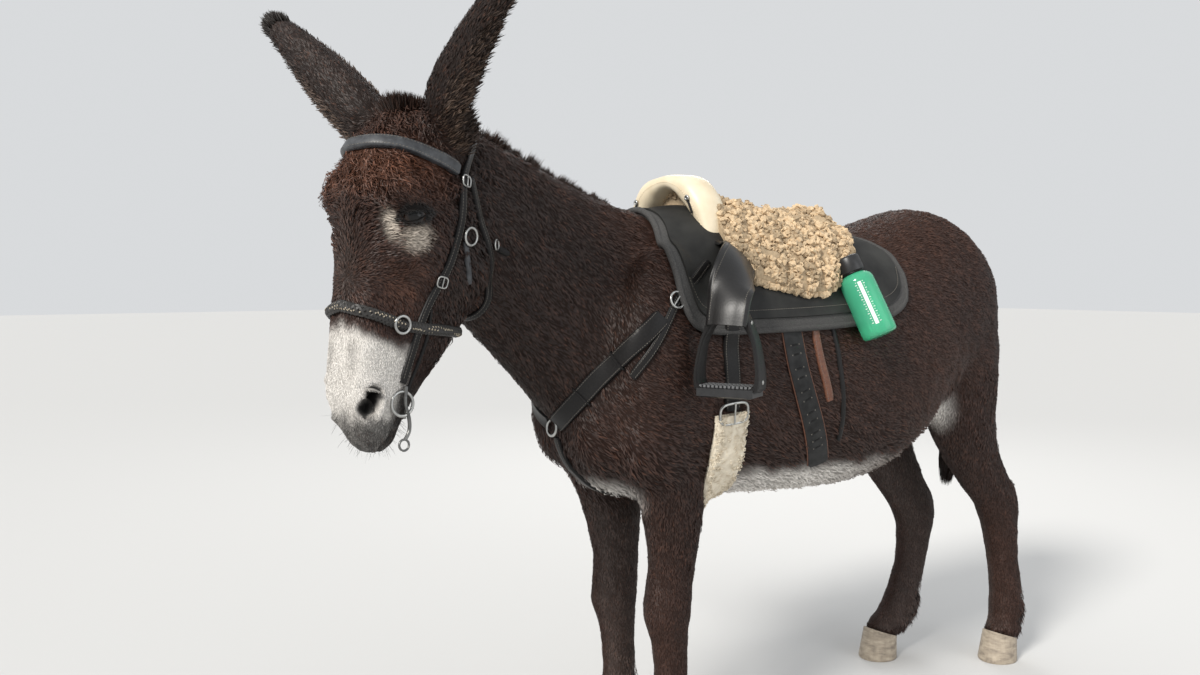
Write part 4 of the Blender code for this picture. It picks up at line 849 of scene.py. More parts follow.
class DONKEY_OT_skin(bpy.types.Operator):
    """Makes the one skin that stands for every flesh node"""

    bl_idname = "donkey.skin"
    bl_label = "Skin"

    def execute(self, context):
        obj = make_skin()
        facts = coat_facts(obj, context.scene.donkey_coat)
        covered = facts["length"] * facts["lift"]
        sunk = facts["points"] - facts["normals"] * np.clip(covered * 0.8, 0.0005, 0.006)[:, None]
        facts["outer"] = facts["points"]
        facts["points"] = sunk
        place_points(obj.data, sunk)
        obj.data.shade_smooth()
        colour_layer(obj.data, "coat", facts["shade"] * 0.55)
        painted(obj, hair_material("skin", 0.75, 0.2, 0.5))
        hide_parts(*FLESH)
        SKIN.update(facts)
        SKIN["object"] = obj
        return {"FINISHED"}


# Coat: flat blades of hair in tufts over the skin


BLADE = ((0.0, 0.6, 0.0), (0.46, 1.0, 1.0), (1.0, 0.0, 0.8))
BLADE_TRIANGLES = 3
PATCH = 0.003
PIECE_LIMIT = 195000
WIDTH_SHARE = 0.17
WIDTHS = (0.0011, 0.0034)


def ribbons(name, rows, across, shades, tone, uv):
    """Flat tapered hair: rows of length's share, centres and half width, where None makes a tip."""
    rings, shares = [], []
    for share, centres, half in rows:
        for sign in (-1, 1) if half is not None else (0,):
            rings.append(centres + across * half * sign if sign else centres)
            shares.append(share)
    count, per = len(uv), len(rings)
    shares = np.array(shares)
    faces = [(k, k + 1, k + 3, k + 2) for k in range(0, per - 3, 2)] + [(per - 3, per - 2, per - 1)]
    corners = (np.arange(count)[:, None] * per + np.concatenate([np.array(face) for face in faces])).ravel()
    points = np.stack(rings, axis=1).reshape(-1, 3)
    obj = object_from_arrays(name, points, corners, np.tile([len(face) for face in faces], count))
    colours = (shades[:, None, :] * (tone[0] + tone[1] * shares)[None, :, None]).reshape(-1, 3)
    colour_layer(obj.data, "coat", np.clip(colours, 0, 1))
    layer = obj.data.uv_layers.new(name="OFBake")
    half = PATCH / 2
    patch = np.stack([np.where(np.arange(per) % 2, half, -half), PATCH * shares - half], axis=1)
    spots = (uv[:, None, :] + patch[None, :, :]).reshape(-1, 2)
    layer.data.foreach_set("uv", spots[corners].astype(np.float32).ravel())
    return obj


def blades(name, roots, lies, lengths, widths, shades, uv, across, shape=BLADE, lifts=None, bends=None):
    """Ribbons whose shape gives for each row its share of length, of width and of lift."""
    rows = []
    for share, wide, high in shape:
        centres = roots + lies * (lengths * share)[:, None]
        if lifts is not None:
            centres = centres + lifts * (lengths * high)[:, None]
        if bends is not None:
            centres = centres + bends * (share * share * lengths)[:, None]
        rows.append((share, centres, (widths * wide / 2)[:, None] if wide else None))
    return ribbons(name, rows, across, shades, (0.62, 0.62), uv)


def sown(tris, points, weight, count, draw):
    """Random places on the skin: triangle and barycentric shares, weighted."""
    a, b, c = (points[tris[:, i]] for i in range(3))
    area = np.linalg.norm(np.cross(b - a, c - a), axis=1) / 2
    chance = area * weight[tris].mean(axis=1)
    total = np.cumsum(chance)
    pick = np.searchsorted(total, draw.random(count) * total[-1])
    pick = np.clip(pick, 0, len(tris) - 1)
    u, v = draw.random(count), draw.random(count)
    flip = u + v > 1
    u[flip], v[flip] = 1 - u[flip], 1 - v[flip]
    return tris[pick], np.stack([1 - u - v, u, v], axis=1)


def blended(values, corners, shares):
    return (values[corners] * (shares[:, :, None] if values.ndim == 2 else shares)).sum(1)


PIECES = {
    "coat_head": ("head",),
    "coat_neck": ("neck",),
    "coat_torso_left": ("torso",),
    "coat_torso_right": ("torso",),
    "coat_forelegs": ("foreleg_left", "foreleg_right"),
    "coat_hindlegs": ("hindleg_left", "hindleg_right"),
    "coat_ears_tail": ("ear_left", "ear_right", "tail"),
}


def unwrap(name, place, local, region):
    """Where a root lies on an unwrap of its part: round the part's own axis and along it."""
    x, y, z = place.T
    if name == "coat_head":
        around, along = np.arctan2(local[:, 0], local[:, 2] + 0.13) / (2 * np.pi), local[:, 1] / 0.75 + 0.1
    elif name == "coat_neck":
        around = np.arctan2(x, (z - 1.25) * 0.7 - y * 0.7 - 0.25) / (2 * np.pi)
        along = (y * 0.7 - z * 0.3 + 1.1)
    elif name.startswith("coat_torso"):
        around, along = np.arctan2(np.abs(x), z - 1.05) / np.pi - 0.5, (y + 0.3) / 2.0
    elif name.endswith("legs"):
        first = region == (FLESH.index("foreleg_left") if "fore" in name else FLESH.index("hindleg_left"))
        cx = np.where(first, 0.11, -0.11)
        cy = np.where(y > 0.5, np.where(first, 1.45, 1.17), np.where(first, 0.0, -0.03))
        around = np.arctan2(x - cx, y - cy) / (4 * np.pi) + np.where(first, 0.25, -0.25)
        along = z / 1.35
    else:
        part = np.where(region == FLESH.index("ear_right"), 1, 2)
        part = np.where(region == FLESH.index("ear_left"), 0, part)
        round_ear = np.arctan2(local[:, 2] + 0.1, np.abs(local[:, 0]) - 0.22)
        angle = np.where(part == 2, np.arctan2(x, y - 1.48), round_ear)
        around = angle / (6 * np.pi) + (part - 1) / 3
        along = np.where(part == 2, (z - 0.5) / 1.0, (z - 1.55) / 0.45)
    uv = np.stack([0.5 + around * 0.98, np.clip(along, 0, 1) * 0.98 + 0.01], axis=1)
    return np.clip(uv, 0.004, 0.996)


def under_tack():
    """How far each vertex of the skin is covered by tack: 1 where a piece lies on it."""
    outer, normals = SKIN["outer"], SKIN["normals"]
    covered = np.zeros(len(outer))
    for name in sorted(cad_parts):
        if name in FLESH or name.startswith(("eye", "hoof", "stirrup", "bottle", "fender")):
            continue
        tree = tree_of([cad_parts[name]])
        low, high = (np.array(corner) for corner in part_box(name))
        for i in np.nonzero(((outer > low - 0.02) & (outer < high + 0.02)).all(1))[0]:
            start = Vector(outer[i] - normals[i] * 0.012)
            if tree.ray_cast(start, Vector(normals[i]), 0.045)[0] is not None:
                covered[i] = 1.0
    return covered


class DONKEY_OT_coat(bpy.types.Operator):
    """Covers the skin with short tufts that follow the lie of the coat"""

    bl_idname = "donkey.coat"
    bl_label = "Coat"

    def execute(self, context):
        coat = context.scene.donkey_coat
        draw = np.random.default_rng(SEED)
        total = coat.tufts // 1
        width = np.clip(SKIN["length"] * WIDTH_SHARE, *WIDTHS)
        weight = np.minimum(1.0 / (SKIN["length"] * width), 1.0 / (0.005 * 0.0016))
        weight *= np.where(under_tack() > 0.5, 0.0, 1.0) * (1 - SKIN["bare"])
        on_head = SKIN["weights"][:, HEAD] > 0.5
        weight *= 1.0 + on_head * (0.8 + 1.5 * smoothstep(0.26, 0.16, SKIN["local"][:, 1]))
        corners, shares = sown(face_table(SKIN["object"].data), SKIN["points"], weight, total, draw)
        roots, normals, lies, lengths, lifts, shades = (
            blended(SKIN[key], corners, shares)
            for key in ("points", "normals", "lie", "length", "lift", "shade")
        )
        normals = unit(normals)
        place, local = roots - HOME, in_head(roots)
        region = SKIN["region"][corners[:, 0]]
        on_head = region == HEAD
        clump = clump_field(place, 0.02)
        side = unit(np.cross(lies, normals))
        stray = 0.2 * clump_field(place + 5.3, 0.07) + 0.12 * clump
        stray = stray + np.where(on_head, 0.2, 0.15) * draw.standard_normal(total)
        lies = unit(lies + side * stray[:, None])
        lengths = lengths * draw.uniform(0.65, 1.25, total) * (1 + 0.18 * clump)
        widths = np.clip(lengths * WIDTH_SHARE, *WIDTHS) * draw.uniform(0.7, 1.3, total)
        widths *= 1.0
        widths *= 1 - 0.32 * smoothstep(0.26, 0.16, local[:, 1]) * on_head
        lifts = lifts * draw.uniform(0.5, 1.5, total) * (1 + 0.35 * clump)
        fleck = np.where(on_head, draw.uniform(0.5, 1.6, total), draw.uniform(0.7, 1.3, total))
        fleck = fleck * (1 + 0.2 * clump)
        fleck = mix(fleck, draw.uniform(0.88, 1.1, total), smoothstep(0.5, 1.4, shades.sum(1)))
        shades = shades * fleck[:, None]
        reddish = (draw.random(total) < 0.1) & (shades.sum(1) < 0.35)
        shades[reddish] = mix(shades[reddish], np.array(coat.red), 0.45)
        # curls on the forehead
        curly = smoothstep(0.24, 0.14, local[:, 1]) * on_head
        turn = clump_field(place, 0.009) * 5.0 + draw.uniform(-0.7, 0.7, total)
        bends = lies * (np.cos(turn) - 1)[:, None] * 0.4 + side * np.sin(turn)[:, None] * 0.6
        bends = (bends - normals * 0.25) * curly[:, None]
        across = unit(np.cross(lies, normals) + normals * (0.35 * draw.standard_normal(total))[:, None])
        hair = hair_material("coat_hair")
        for name, members in PIECES.items():
            chosen = np.isin(region, [FLESH.index(member) for member in members])
            if name.startswith("coat_torso"):
                chosen &= (place[:, 0] > 0) == name.endswith("left")
            pick = np.nonzero(chosen)[0]
            if not len(pick):
                raise RuntimeError("no tufts for " + name)
            parts = int(np.ceil(len(pick) * BLADE_TRIANGLES / PIECE_LIMIT))
            for part in range(parts):
                rows = pick[part::parts]
                label = name if parts == 1 else "%s_%d" % (name, part + 1)
                uv = unwrap(name, place[rows], local[rows], region[rows])
                obj = blades(label, roots[rows], lies[rows], lengths[rows], widths[rows], shades[rows], uv,
                             across[rows], lifts=normals[rows] * lifts[rows, None], bends=bends[rows])
                painted(obj, hair)
        return {"FINISHED"}


def clump_field(place, size):
    """A smooth repeating value from -1 to 1 that varies over about this size."""
    place = place / size

    def wave(first, second, rate, bend):
        return np.sin(place @ np.array(first) * rate + bend * np.sin(place @ np.array(second)))

    return 0.5 * (wave((1.0, 0.7, 0.4), (0.3, -0.8, 1.1), 2.1, 1.3)
                  + wave((-0.5, 0.9, 1.2), (1.2, 0.4, -0.6), 1.7, 1.1))


# Long hair: mane, forelock, switch, ear and fetlock fringes


STRAND = ((0.0, 0.55, 0.0), (0.22, 0.9, 0.0), (0.48, 1.0, 0.0), (0.76, 0.75, 0.0), (1.0, 0.0, 0.0))
FRINGE = ((0.0, 0.6, 0.0), (0.33, 1.0, 0.0), (0.7, 0.8, 0.0), (1.0, 0.0, 0.0))
LOCK = ((0.0, 0.6), (0.15, 0.8), (0.32, 1.0), (0.5, 1.0), (0.68, 0.9), (0.85, 0.7), (1.0, 0.0))


def unrolled(place, middle):
    """Where roots lie on an unwrap round a middle, and along their longer side."""
    low, high = place.min(0), place.max(0)
    size = np.maximum(high - low, 1e-6)
    along = 1 if size[1] > size[2] else 2
    around = np.arctan2(place[:, 0] - middle[0], place[:, 1] - middle[1]) / (2 * np.pi)
    height = (place[:, along] - low[along]) / size[along]
    return np.stack([0.5 + 0.98 * around, 0.01 + 0.98 * height], axis=1)


def strands(name, roots, ways, lengths, width, shades, draw, bends=0.0, wave=0.05, shape=STRAND):
    """Long tapered hair, each strand free to point its own way."""
    count = len(roots)
    across = unit(np.cross(ways, unit(draw.standard_normal((count, 3)))))
    bends = bends + across * (wave * draw.standard_normal(count))[:, None]
    place = roots - HOME
    uv = unrolled(place, (place.min(0) + place.max(0)) / 2)
    return blades(name, roots, ways, lengths, np.full(count, width), shades, uv, across, shape, bends=bends)


def long_locks(name, foot, ways, lengths, belly, shades, draw):
    """Hanging hair that swells outward on its way down."""
    across = unit(np.cross(ways, unit(draw.standard_normal((len(foot), 3)))))
    wave = draw.uniform(0, 2 * np.pi, len(foot))
    rows = []
    for share, wide in LOCK:
        centres = foot + ways * (lengths * share)[:, None]
        centres = centres + belly * (lengths * share * (1 - share) * 1.15)[:, None]
        centres = centres + across * (0.004 * np.sin(wave + share * 7))[:, None]
        rows.append((share, centres, 0.0018 * wide if wide else None))
    return ribbons(name, rows, across, shades, (0.7, 0.5), unrolled(foot, foot.mean(0)))


def scattered(draw, points, count):
    return points + draw.standard_normal((count, 3)) * 0.002


def course_points(course, shares):
    """Places along a chain of points, at shares of its rows."""
    course = np.array(course, float)
    spot = shares * (len(course) - 1)
    i = np.clip(spot.astype(int), 0, len(course) - 2)
    return course[i] + (course[i + 1] - course[i]) * (spot - i)[:, None]


# The tail's middle, as x and y at four heights, and where its longest hair ends
DOCK = ((-0.034, -0.026, -0.016, -0.008), (1.492, 1.502, 1.51, 1.505))
SWITCH_END = (-0.06, 1.455, 0.552)


class DONKEY_OT_long_hair(bpy.types.Operator):
    """Grows mane, forelock, tail switch and the fringes of ears and fetlocks"""

    bl_idname = "donkey.long_hair"
    bl_label = "Long Hair"

    def execute(self, context):
        coat = context.scene.donkey_coat
        draw = np.random.default_rng(SEED + 1)
        colours = [np.array(value) for value in (coat.dark, coat.body, coat.red)]
        hair = hair_material("long_hair", 0.52, 0.35)
        for grow in (self.mane, self.forelock, self.switch, self.ear_fringe, self.fetlocks, self.whiskers):
            painted(grow(draw, *colours), hair)
        return {"FINISHED"}

    def mane(self, draw, dark, body, red):
        """Short upright hair along the crest, in ragged tufts."""
        count = 9500
        share = draw.random(count) * 0.93
        foot = course_points(CREST, share) + HOME
        tuft = np.floor(share * 44)
        lean = np.sin(tuft * 2.4) * 0.26 + 0.1 * draw.standard_normal(count)
        sideways = draw.uniform(-1, 1, count)
        foot[:, 0] += sideways * 0.019
        foot[:, 2] -= 0.012 + np.abs(sideways) * 0.012
        back = 0.28 + 0.16 * np.cos(tuft * 1.7) + 0.08 * draw.standard_normal(count)
        ways = unit(np.stack([lean + sideways * 0.3, back, np.ones(count)], axis=1))
        high = 0.048 * np.sin(np.pi * (0.1 + 0.86 * share)) ** 0.35 * (1 - 0.25 * np.abs(sideways))
        lengths = (high + 0.014) * draw.uniform(0.72, 1.08, count) * (0.9 + 0.12 * np.cos(tuft * 3.1))
        shades = mix(dark, red, 0.18 * draw.random(count)[:, None]) * draw.uniform(0.7, 1.5, count)[:, None]
        bends = np.stack([lean, np.full(count, 0.35), np.zeros(count)], axis=1) * 0.35
        return strands("mane", foot, ways, lengths, 0.0026, shades, draw, bends)

    def forelock(self, draw, dark, body, red):
        """The tuft between the ears."""
        count = 3600
        sideways = draw.normal(0, 0.45, count).clip(-1.2, 1.2)
        fore = draw.uniform(-1, 1, count)
        base = rows_of(head_point(s * 0.04, 0.004 - 0.006 * abs(s), -0.082 + 0.03 * f)
                       for s, f in zip(sideways, fore))
        ways = TO_LEFT * sideways[:, None] * 0.62 + TO_FRONT * fore[:, None] * 0.35 + np.array((0, 0, 1.0))
        ways = unit(ways + 0.1 * draw.standard_normal((count, 3)))
        lengths = 0.06 * draw.uniform(0.6, 1.05, count) * (1 - 0.22 * np.abs(sideways))
        shades = mix(dark, red, 0.25 * draw.random(count)[:, None]) * draw.uniform(0.8, 1.5, count)[:, None]
        return strands("forelock", base, ways, lengths, 0.002, shades, draw)

    def switch(self, draw, dark, body, red):
        """The long locks of the tail, from the dock to one hanging end."""
        count = 6800
        height = 1.12 - 0.27 * draw.random(count) ** 0.8
        axis = [np.interp(height, (0.84, 0.92, 1.04, 1.17), row) for row in DOCK]
        turn = draw.uniform(0, 2 * np.pi, count)
        away = np.stack([np.cos(turn), np.sin(turn), np.zeros(count)], axis=1)
        radius = np.interp(height, (1.02, 1.1), (0.014, 0.026))
        foot = np.stack([*axis, height], axis=1) + away * radius[:, None] + HOME
        lock = np.floor(turn / (2 * np.pi) * 11) + 11 * np.floor(height * 14)
        reach = draw.uniform(0.8, 1.0, count) * (0.94 + 0.06 * np.sin(lock * 5.1))
        end = np.array(at(*SWITCH_END)) + away * (0.006 + 0.012 * draw.random(count))[:, None]
        end[:, 2] += (1 - reach) * 0.45
        span = end - foot
        belly = away * (0.13 + 0.05 * np.sin(lock * 3.3))[:, None]
        shades = mix(dark, red, 0.12 * draw.random(count)[:, None]) * draw.uniform(0.5, 1.5, count)[:, None]
        return long_locks("tail_switch", foot, unit(span), np.linalg.norm(span, axis=1), belly, shades, draw)

    def ear_fringe(self, draw, dark, body, red):
        """Longer hair along the rims, in the cup and at the tip of each ear."""
        points, normals = SKIN["points"], SKIN["normals"]
        roots, ways, lengths, shades = [], [], [], []
        for side, name in SIDES:
            on_ear = SKIN["weights"][:, FLESH.index("ear_" + name)] > 0.6
            way, opens = ear_ways(side)
            facing = normals @ opens
            edgewise = np.abs(normals @ unit(np.cross(way, opens))) > 0.3
            rim = np.nonzero(on_ear & (np.abs(facing - 0.15) < 0.55) & edgewise)[0]
            inner = np.nonzero(on_ear & (facing > 0.5))[0]
            low, top = (points[rim] @ way).min(), (points[rim] @ way).max()
            for chosen, count, long, stand, tone in (
                (rim, 3600, 0.02, 0.55, (0.12, 0.08, 0.058)),
                (inner, 2200, 0.024, 0.5, (0.06, 0.042, 0.034)),
            ):
                pick = draw.choice(chosen, count)
                along = (points[pick] @ way - low) / (top - low)
                roots.append(scattered(draw, points[pick], count))
                outward = opens * 0.8 + normals[pick] * stand
                ways.append(unit(way * 1.1 + outward * 0.7 + 0.2 * draw.standard_normal((count, 3))))
                lengths.append(long * draw.uniform(0.5, 1.1, count) * (1.15 - 0.4 * along))
                fade = np.clip(1 - along * 1.3, 0.0, 1)[:, None]
                shades.append(mix(dark * 1.6, np.array(tone), fade) * draw.uniform(0.6, 1.4, count)[:, None])
            count = 1700
            pick = draw.choice(np.nonzero(on_ear & (points @ way > top - 0.045))[0], count)
            roots.append(points[pick])
            ways.append(unit(way + normals[pick] * 0.22 + 0.15 * draw.standard_normal((count, 3))))
            lengths.append(0.03 * draw.uniform(0.5, 1.1, count))
            shades.append(dark * draw.uniform(0.5, 1.3, count)[:, None])
        roots, ways, lengths, shades = (np.concatenate(values) for values in (roots, ways, lengths, shades))
        return strands("ear_fringe", roots, ways, lengths, 0.002, shades, draw, shape=FRINGE)

    def fetlocks(self, draw, dark, body, red):
        """Tufts behind the fetlocks and over the coronets."""
        points, normals, z = SKIN["points"], SKIN["normals"], SKIN["place"][:, 2]
        first = FLESH.index("foreleg_left")
        legs = SKIN["weights"][:, first : first + 4].sum(1) > 0.5
        roots, ways, lengths = [], [], []
        rings = ((0.1, 0.2, 0.35, 0.03, 4200), (0.082, 0.108, -1.0, 0.016, 4600))
        for low, high, back, long, count in rings:
            chosen = np.nonzero(legs & (z > low) & (z < high) & (normals[:, 1] > back))[0]
            pick = draw.choice(chosen, count)
            roots.append(scattered(draw, points[pick], count))
            ways.append(unit(normals[pick] * 0.35 + (0, 0.1, -1.0) + 0.1 * draw.standard_normal((count, 3))))
            lengths.append(long * draw.uniform(0.5, 1.1, count))
        roots, ways, lengths = (np.concatenate(values) for values in (roots, ways, lengths))
        shades = mix(body, dark, 0.3) * draw.uniform(0.7, 1.6, len(roots))[:, None]
        return strands("fetlock_hair", roots, ways, lengths, 0.0018, shades, draw, shape=FRINGE)

    def whiskers(self, draw, dark, body, red):
        """Fine whiskers of lips and chin, and the lashes of the upper lids."""
        points, normals, local = SKIN["points"], SKIN["normals"], SKIN["local"]
        chosen = np.nonzero((SKIN["region"] == HEAD) & (local[:, 1] > 0.575) & (local[:, 2] < -0.045))[0]
        count = 170
        pick = draw.choice(chosen, count)
        roots = [points[pick]]
        ways = [unit(normals[pick] + TO_NOSE * 0.5 + 0.2 * draw.standard_normal((count, 3)))]
        lengths = [0.026 * draw.uniform(0.4, 1.2, count)]
        count = 120
        for side, _ in SIDES:
            centre, looks, along, up = eye_axes(side)
            a = draw.uniform(-0.85, 0.85, count) * LID_HALF
            lid = along * a[:, None] + up * (lid_edges(a)[0] + 0.001)[:, None] + looks * EYE_RADIUS
            roots.append(centre + unit(lid) * (EYE_RADIUS + 0.006))
            ways.append(unit(looks - up * 0.3 + 0.1 * draw.standard_normal((count, 3))))
            lengths.append(0.014 * draw.uniform(0.6, 1.1, count))
        roots, ways, lengths = (np.concatenate(values) for values in (roots, ways, lengths))
        shades = np.full((len(roots), 3), 0.03)
        return strands("whiskers", roots, ways, lengths, 0.0005, shades, draw, wave=0.1)


# Eyes and hooves


CORNEA_FROM = 0.72

# The eye's colours from its rim to its pupil
IRIS = (
    (0.0, (0.06, 0.04, 0.03)),
    (0.8, (0.02, 0.01, 0.006)),
    (0.87, (0.012, 0.006, 0.004)),
    (0.93, (0.003, 0.003, 0.003)),
)


class DONKEY_OT_eyes(bpy.types.Operator):
    """Makes the dark glossy eyes"""

    bl_idname = "donkey.eyes"
    bl_label = "Eyes"

    def execute(self, context):
        made, tree, shader = new_material("eye")
        place = tree.nodes.new("ShaderNodeTexCoord")
        split = tree.nodes.new("ShaderNodeSeparateXYZ")
        tree.links.new(place.outputs["Generated"], split.inputs["Vector"])
        ramp = ramp_node(tree, split.outputs["Z"], IRIS)
        tree.links.new(ramp.outputs["Color"], shader.inputs["Base Color"])
        set_inputs(shader, Roughness=0.08, Specular_IOR_Level=0.25, Coat_Weight=0.15, Coat_Roughness=0.03)
        for side, name in SIDES:
            mesh = bmesh.new()
            bmesh.ops.create_uvsphere(mesh, u_segments=40, v_segments=24, radius=EYE_RADIUS)
            for vert in mesh.verts:
                if vert.co.z > EYE_RADIUS * CORNEA_FROM:
                    vert.co.z += 0.001 * (vert.co.z / EYE_RADIUS - CORNEA_FROM) / (1 - CORNEA_FROM)
            turn = Vector((0, 0, 1)).rotation_difference(eye_way(side).normalized()).to_matrix().to_4x4()
            obj = object_from("eyeball_" + name, mesh)
            obj.matrix_world = Matrix.Translation(eye_middle(side)) @ turn
            painted(obj, made)
            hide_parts("eye_" + name)
        return {"FINISHED"}


HOOVES = {
    "fore_left": (0.09, 0.034),
    "fore_right": (-0.09, 0.004),
    "hind_left": (0.143, 1.488),
    "hind_right": (-0.11, 1.182),
}
HOOF_ROWS = 26


class DONKEY_OT_hooves(bpy.types.Operator):
    """Makes the hooves with their growth rings"""

    bl_idname = "donkey.hooves"
    bl_label = "Hooves"

    def execute(self, context):
        made, tree, shader = new_material("hoof_horn")
        grain = noise_node(tree, 24.0, 5.0, 0.6, (1.0, 1.0, 3.5))
        streak = noise_node(tree, 90.0, 4.0, 0.6, (1.0, 1.0, 0.2))
        streaks = math_node(tree, "MULTIPLY", streak.outputs["Fac"], 0.25)
        horn = math_node(tree, "MULTIPLY_ADD", grain.outputs["Fac"], 0.75, streaks)
        ramp = ramp_node(tree, horn, ((0.34, (0.2, 0.165, 0.13)), (0.5, (0.34, 0.285, 0.22)),
                                      (0.66, (0.47, 0.4, 0.31))))
        tree.links.new(ramp.outputs["Color"], shader.inputs["Base Color"])
        set_inputs(shader, Roughness=0.6)
        bump_node(tree, shader, horn, 0.4, 0.0015)
        for name, (x, y) in HOOVES.items():
            pile = Pile()
            pile.loft([self.ring(x, y, k / HOOF_ROWS, 0 < k < HOOF_ROWS) for k in range(HOOF_ROWS + 1)])
            pile.make("horn_" + name, made, ("hoof_" + name,), "hoof_horn", 50)
        return {"FINISHED"}

    def ring(self, x, y, share, ringed):
        """One level of a hoof, from the ground up to the coronet, with a swell of growth."""
        flare = 1 + 0.155 * (1 - share) - (0.03 if share == 0 else 0.0)
        flare += 0.007 * math.sin(share * 42) * (0.3 + share * 0.7) * ringed
        places = []
        for turn in circle(48):
            side, fore = math.cos(turn), -math.sin(turn)
            heel = 1.0 if fore < 0 else 0.86
            back = fore * 0.06 * flare * heel - 0.012 * (1 - share)
            places.append(at(x + side * 0.053 * flare, y + back, (0.082 - 0.35 * back) * share))
        return rows_of(places)


# Stage


CAMERA_AT = (2.019, -1.567, 1.269)
CAMERA_YAW = math.radians(143.65)
CAMERA_FALL = math.radians(3.26)
LAMPS = (
    # name, place, size, power, colour
    ("fill", (4.6, 1.6, 2.6), 3.5, 40, (0.93, 0.96, 1.0)),
    ("back", (-3.4, 3.4, 3.8), 2.5, 60, (1.0, 0.98, 0.95)),
)
SUN_WAY = (-1.3, 4.6, -3.6)


def aimed(obj, way):
    obj.rotation_euler = Vector(way).to_track_quat("-Z", "Y").to_euler()


class DONKEY_OT_stage(bpy.types.Operator):
    """Sets floor, lights and camera"""

    bl_idname = "donkey.stage"
    bl_label = "Stage"

    def execute(self, context):
        look = context.scene.donkey_stage
        mesh = bmesh.new()
        bmesh.ops.create_grid(mesh, x_segments=1, y_segments=1, size=40)
        floor = object_from("floor", mesh)
        floor.location = (0, 0, -0.0005)
        made, _, shader = new_material("floor")
        set_inputs(shader, Roughness=0.9, Base_Color=(*look.floor, 1.0))
        floor.data.materials.append(made)
        world = bpy.data.worlds.new("studio")
        world.use_nodes = True
        set_inputs(world.node_tree.nodes["Background"], Color=(0.96, 0.98, 1.0, 1.0), Strength=0.72)
        context.scene.world = world
        for name, spot, size, power, colour in LAMPS:
            lamp = bpy.data.lights.new(name, "AREA")
            lamp.shape = "DISK"
            lamp.size, lamp.energy, lamp.color = size, power, colour
            obj = new_object(name, lamp)
            obj.location = spot
            aimed(obj, Vector((0, 0, 1.0)) - Vector(spot))
        sun = bpy.data.lights.new("sun", "SUN")
        sun.angle, sun.energy, sun.color = math.radians(14), 3.3, (1.0, 0.965, 0.91)
        aimed(new_object("sun", sun), SUN_WAY)
        camera = bpy.data.cameras.new("camera")
        camera.lens = look.lens
        camera.sensor_width = 36.0
        camera.sensor_fit = "HORIZONTAL"
        camera.dof.use_dof = False
        obj = new_object("camera", camera)
        obj.location = at(*CAMERA_AT)
        level = math.cos(CAMERA_FALL)
        aimed(obj, (math.cos(CAMERA_YAW) * level, math.sin(CAMERA_YAW) * level, -math.sin(CAMERA_FALL)))
        context.scene.camera = obj
        context.scene.view_settings.view_transform = "Standard"
        return {"FINISHED"}


# Tack: straps that follow what they lie on, with rounded edges, stitches and fittings


class Pile:
    """Gathers many small closed shapes for one object."""

    def __init__(self):
        self.points = []
        self.faces = []
        self.count = 0

    def add(self, points, faces):
        self.points.append(np.asarray(points, float).reshape(-1, 3))
        self.faces += [tuple(int(i) + self.count for i in face) for face in faces]
        self.count += len(self.points[-1])

    def loft(self, rings, closed=False):
        """Skins a stack of rings; rings is rows by points by 3."""
        rings = np.asarray(rings, float)
        index = np.arange(rings.shape[0] * rings.shape[1]).reshape(rings.shape[:2])
        near, far = (index, np.roll(index, -1, 0)) if closed else (index[:-1], index[1:])
        quads = np.stack([near, np.roll(near, -1, 1), np.roll(far, -1, 1), far], axis=-1)
        faces = quads.reshape(-1, 4).tolist()
        if not closed:
            faces += [index[0][::-1].tolist(), index[-1].tolist()]
        self.add(rings, faces)

    def tube(self, course, radius, around=8, closed=False):
        """A round wire along a course; radius is one number or one for each place."""
        course = rows_of(course)
        radius = np.broadcast_to(np.asarray(radius, float), len(course))
        along = along_of(course, closed)
        side = np.array(Vector(along[0]).orthogonal().normalized())
        turns = np.arange(around) * 2 * np.pi / around
        rings = []
        for i in range(len(course)):
            side = unit(side - side @ along[i] * along[i])
            up = np.cross(along[i], side)
            spokes = np.outer(np.cos(turns), side) + np.outer(np.sin(turns), up)
            rings.append(course[i] + radius[i] * spokes)
        self.loft(rings, closed)

    def ring(self, centre, axis, radius, wire, around=36, ridged=8):
        self.tube(loop_round(centre, Vector(axis).normalized(), radius, around), wire, ridged, True)

    def block(self, centre, axes, sizes):
        """A small box with its corners turned in a little."""
        axes = rows_of(axes)
        half = np.array(sizes) / 2
        rings = []
        for level, inset in ((-1.0, 0.85), (-0.75, 1.0), (0.75, 1.0), (1.0, 0.85)):
            row = [(a * inset, b * inset, level) for a, b in ((1, 1), (-1, 1), (-1, -1), (1, -1))]
            rings.append(np.array(row) * half @ axes + np.array(tuple(centre)))
        self.loft(rings)

    def thread(self, points, outs, sizes, lift=0.0):
        """One stitch between each two points of a line, lying flat against what is below."""
        for a, b, out in zip(points, points[1:], outs):
            along = (b - a).normalized()
            self.block(a.lerp(b, 0.5) + out * lift, (along, along.cross(out).normalized(), out), sizes)

    def make(self, name, look, nodes=(), slot=None, sharp=48):
        """The object; look is a material or the name of one of the tack's."""
        mesh = bmesh.new()
        verts = [mesh.verts.new(point) for point in np.concatenate(self.points)]
        for face in self.faces:
            mesh.faces.new([verts[i] for i in face])
        obj = object_from(name, mesh)
        obj.data.set_sharp_from_angle(angle=math.radians(sharp))
        painted(obj, LOOKS.get(look, look))
        if nodes:
            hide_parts(*nodes)
        return obj


def loop_round(centre, axis, radius, count):
    """Places on a circle about an axis."""
    side = axis.orthogonal().normalized()
    up = axis.cross(side)
    return [Vector(centre) + (side * math.cos(t) + up * math.sin(t)) * radius for t in circle(count)]


def piled(name, look, nodes, build, *values):
    """An object of one shape, made by one of the builders below or of the pile's own."""
    pile = Pile()
    build(pile, *values)
    return pile.make(name, look, nodes)


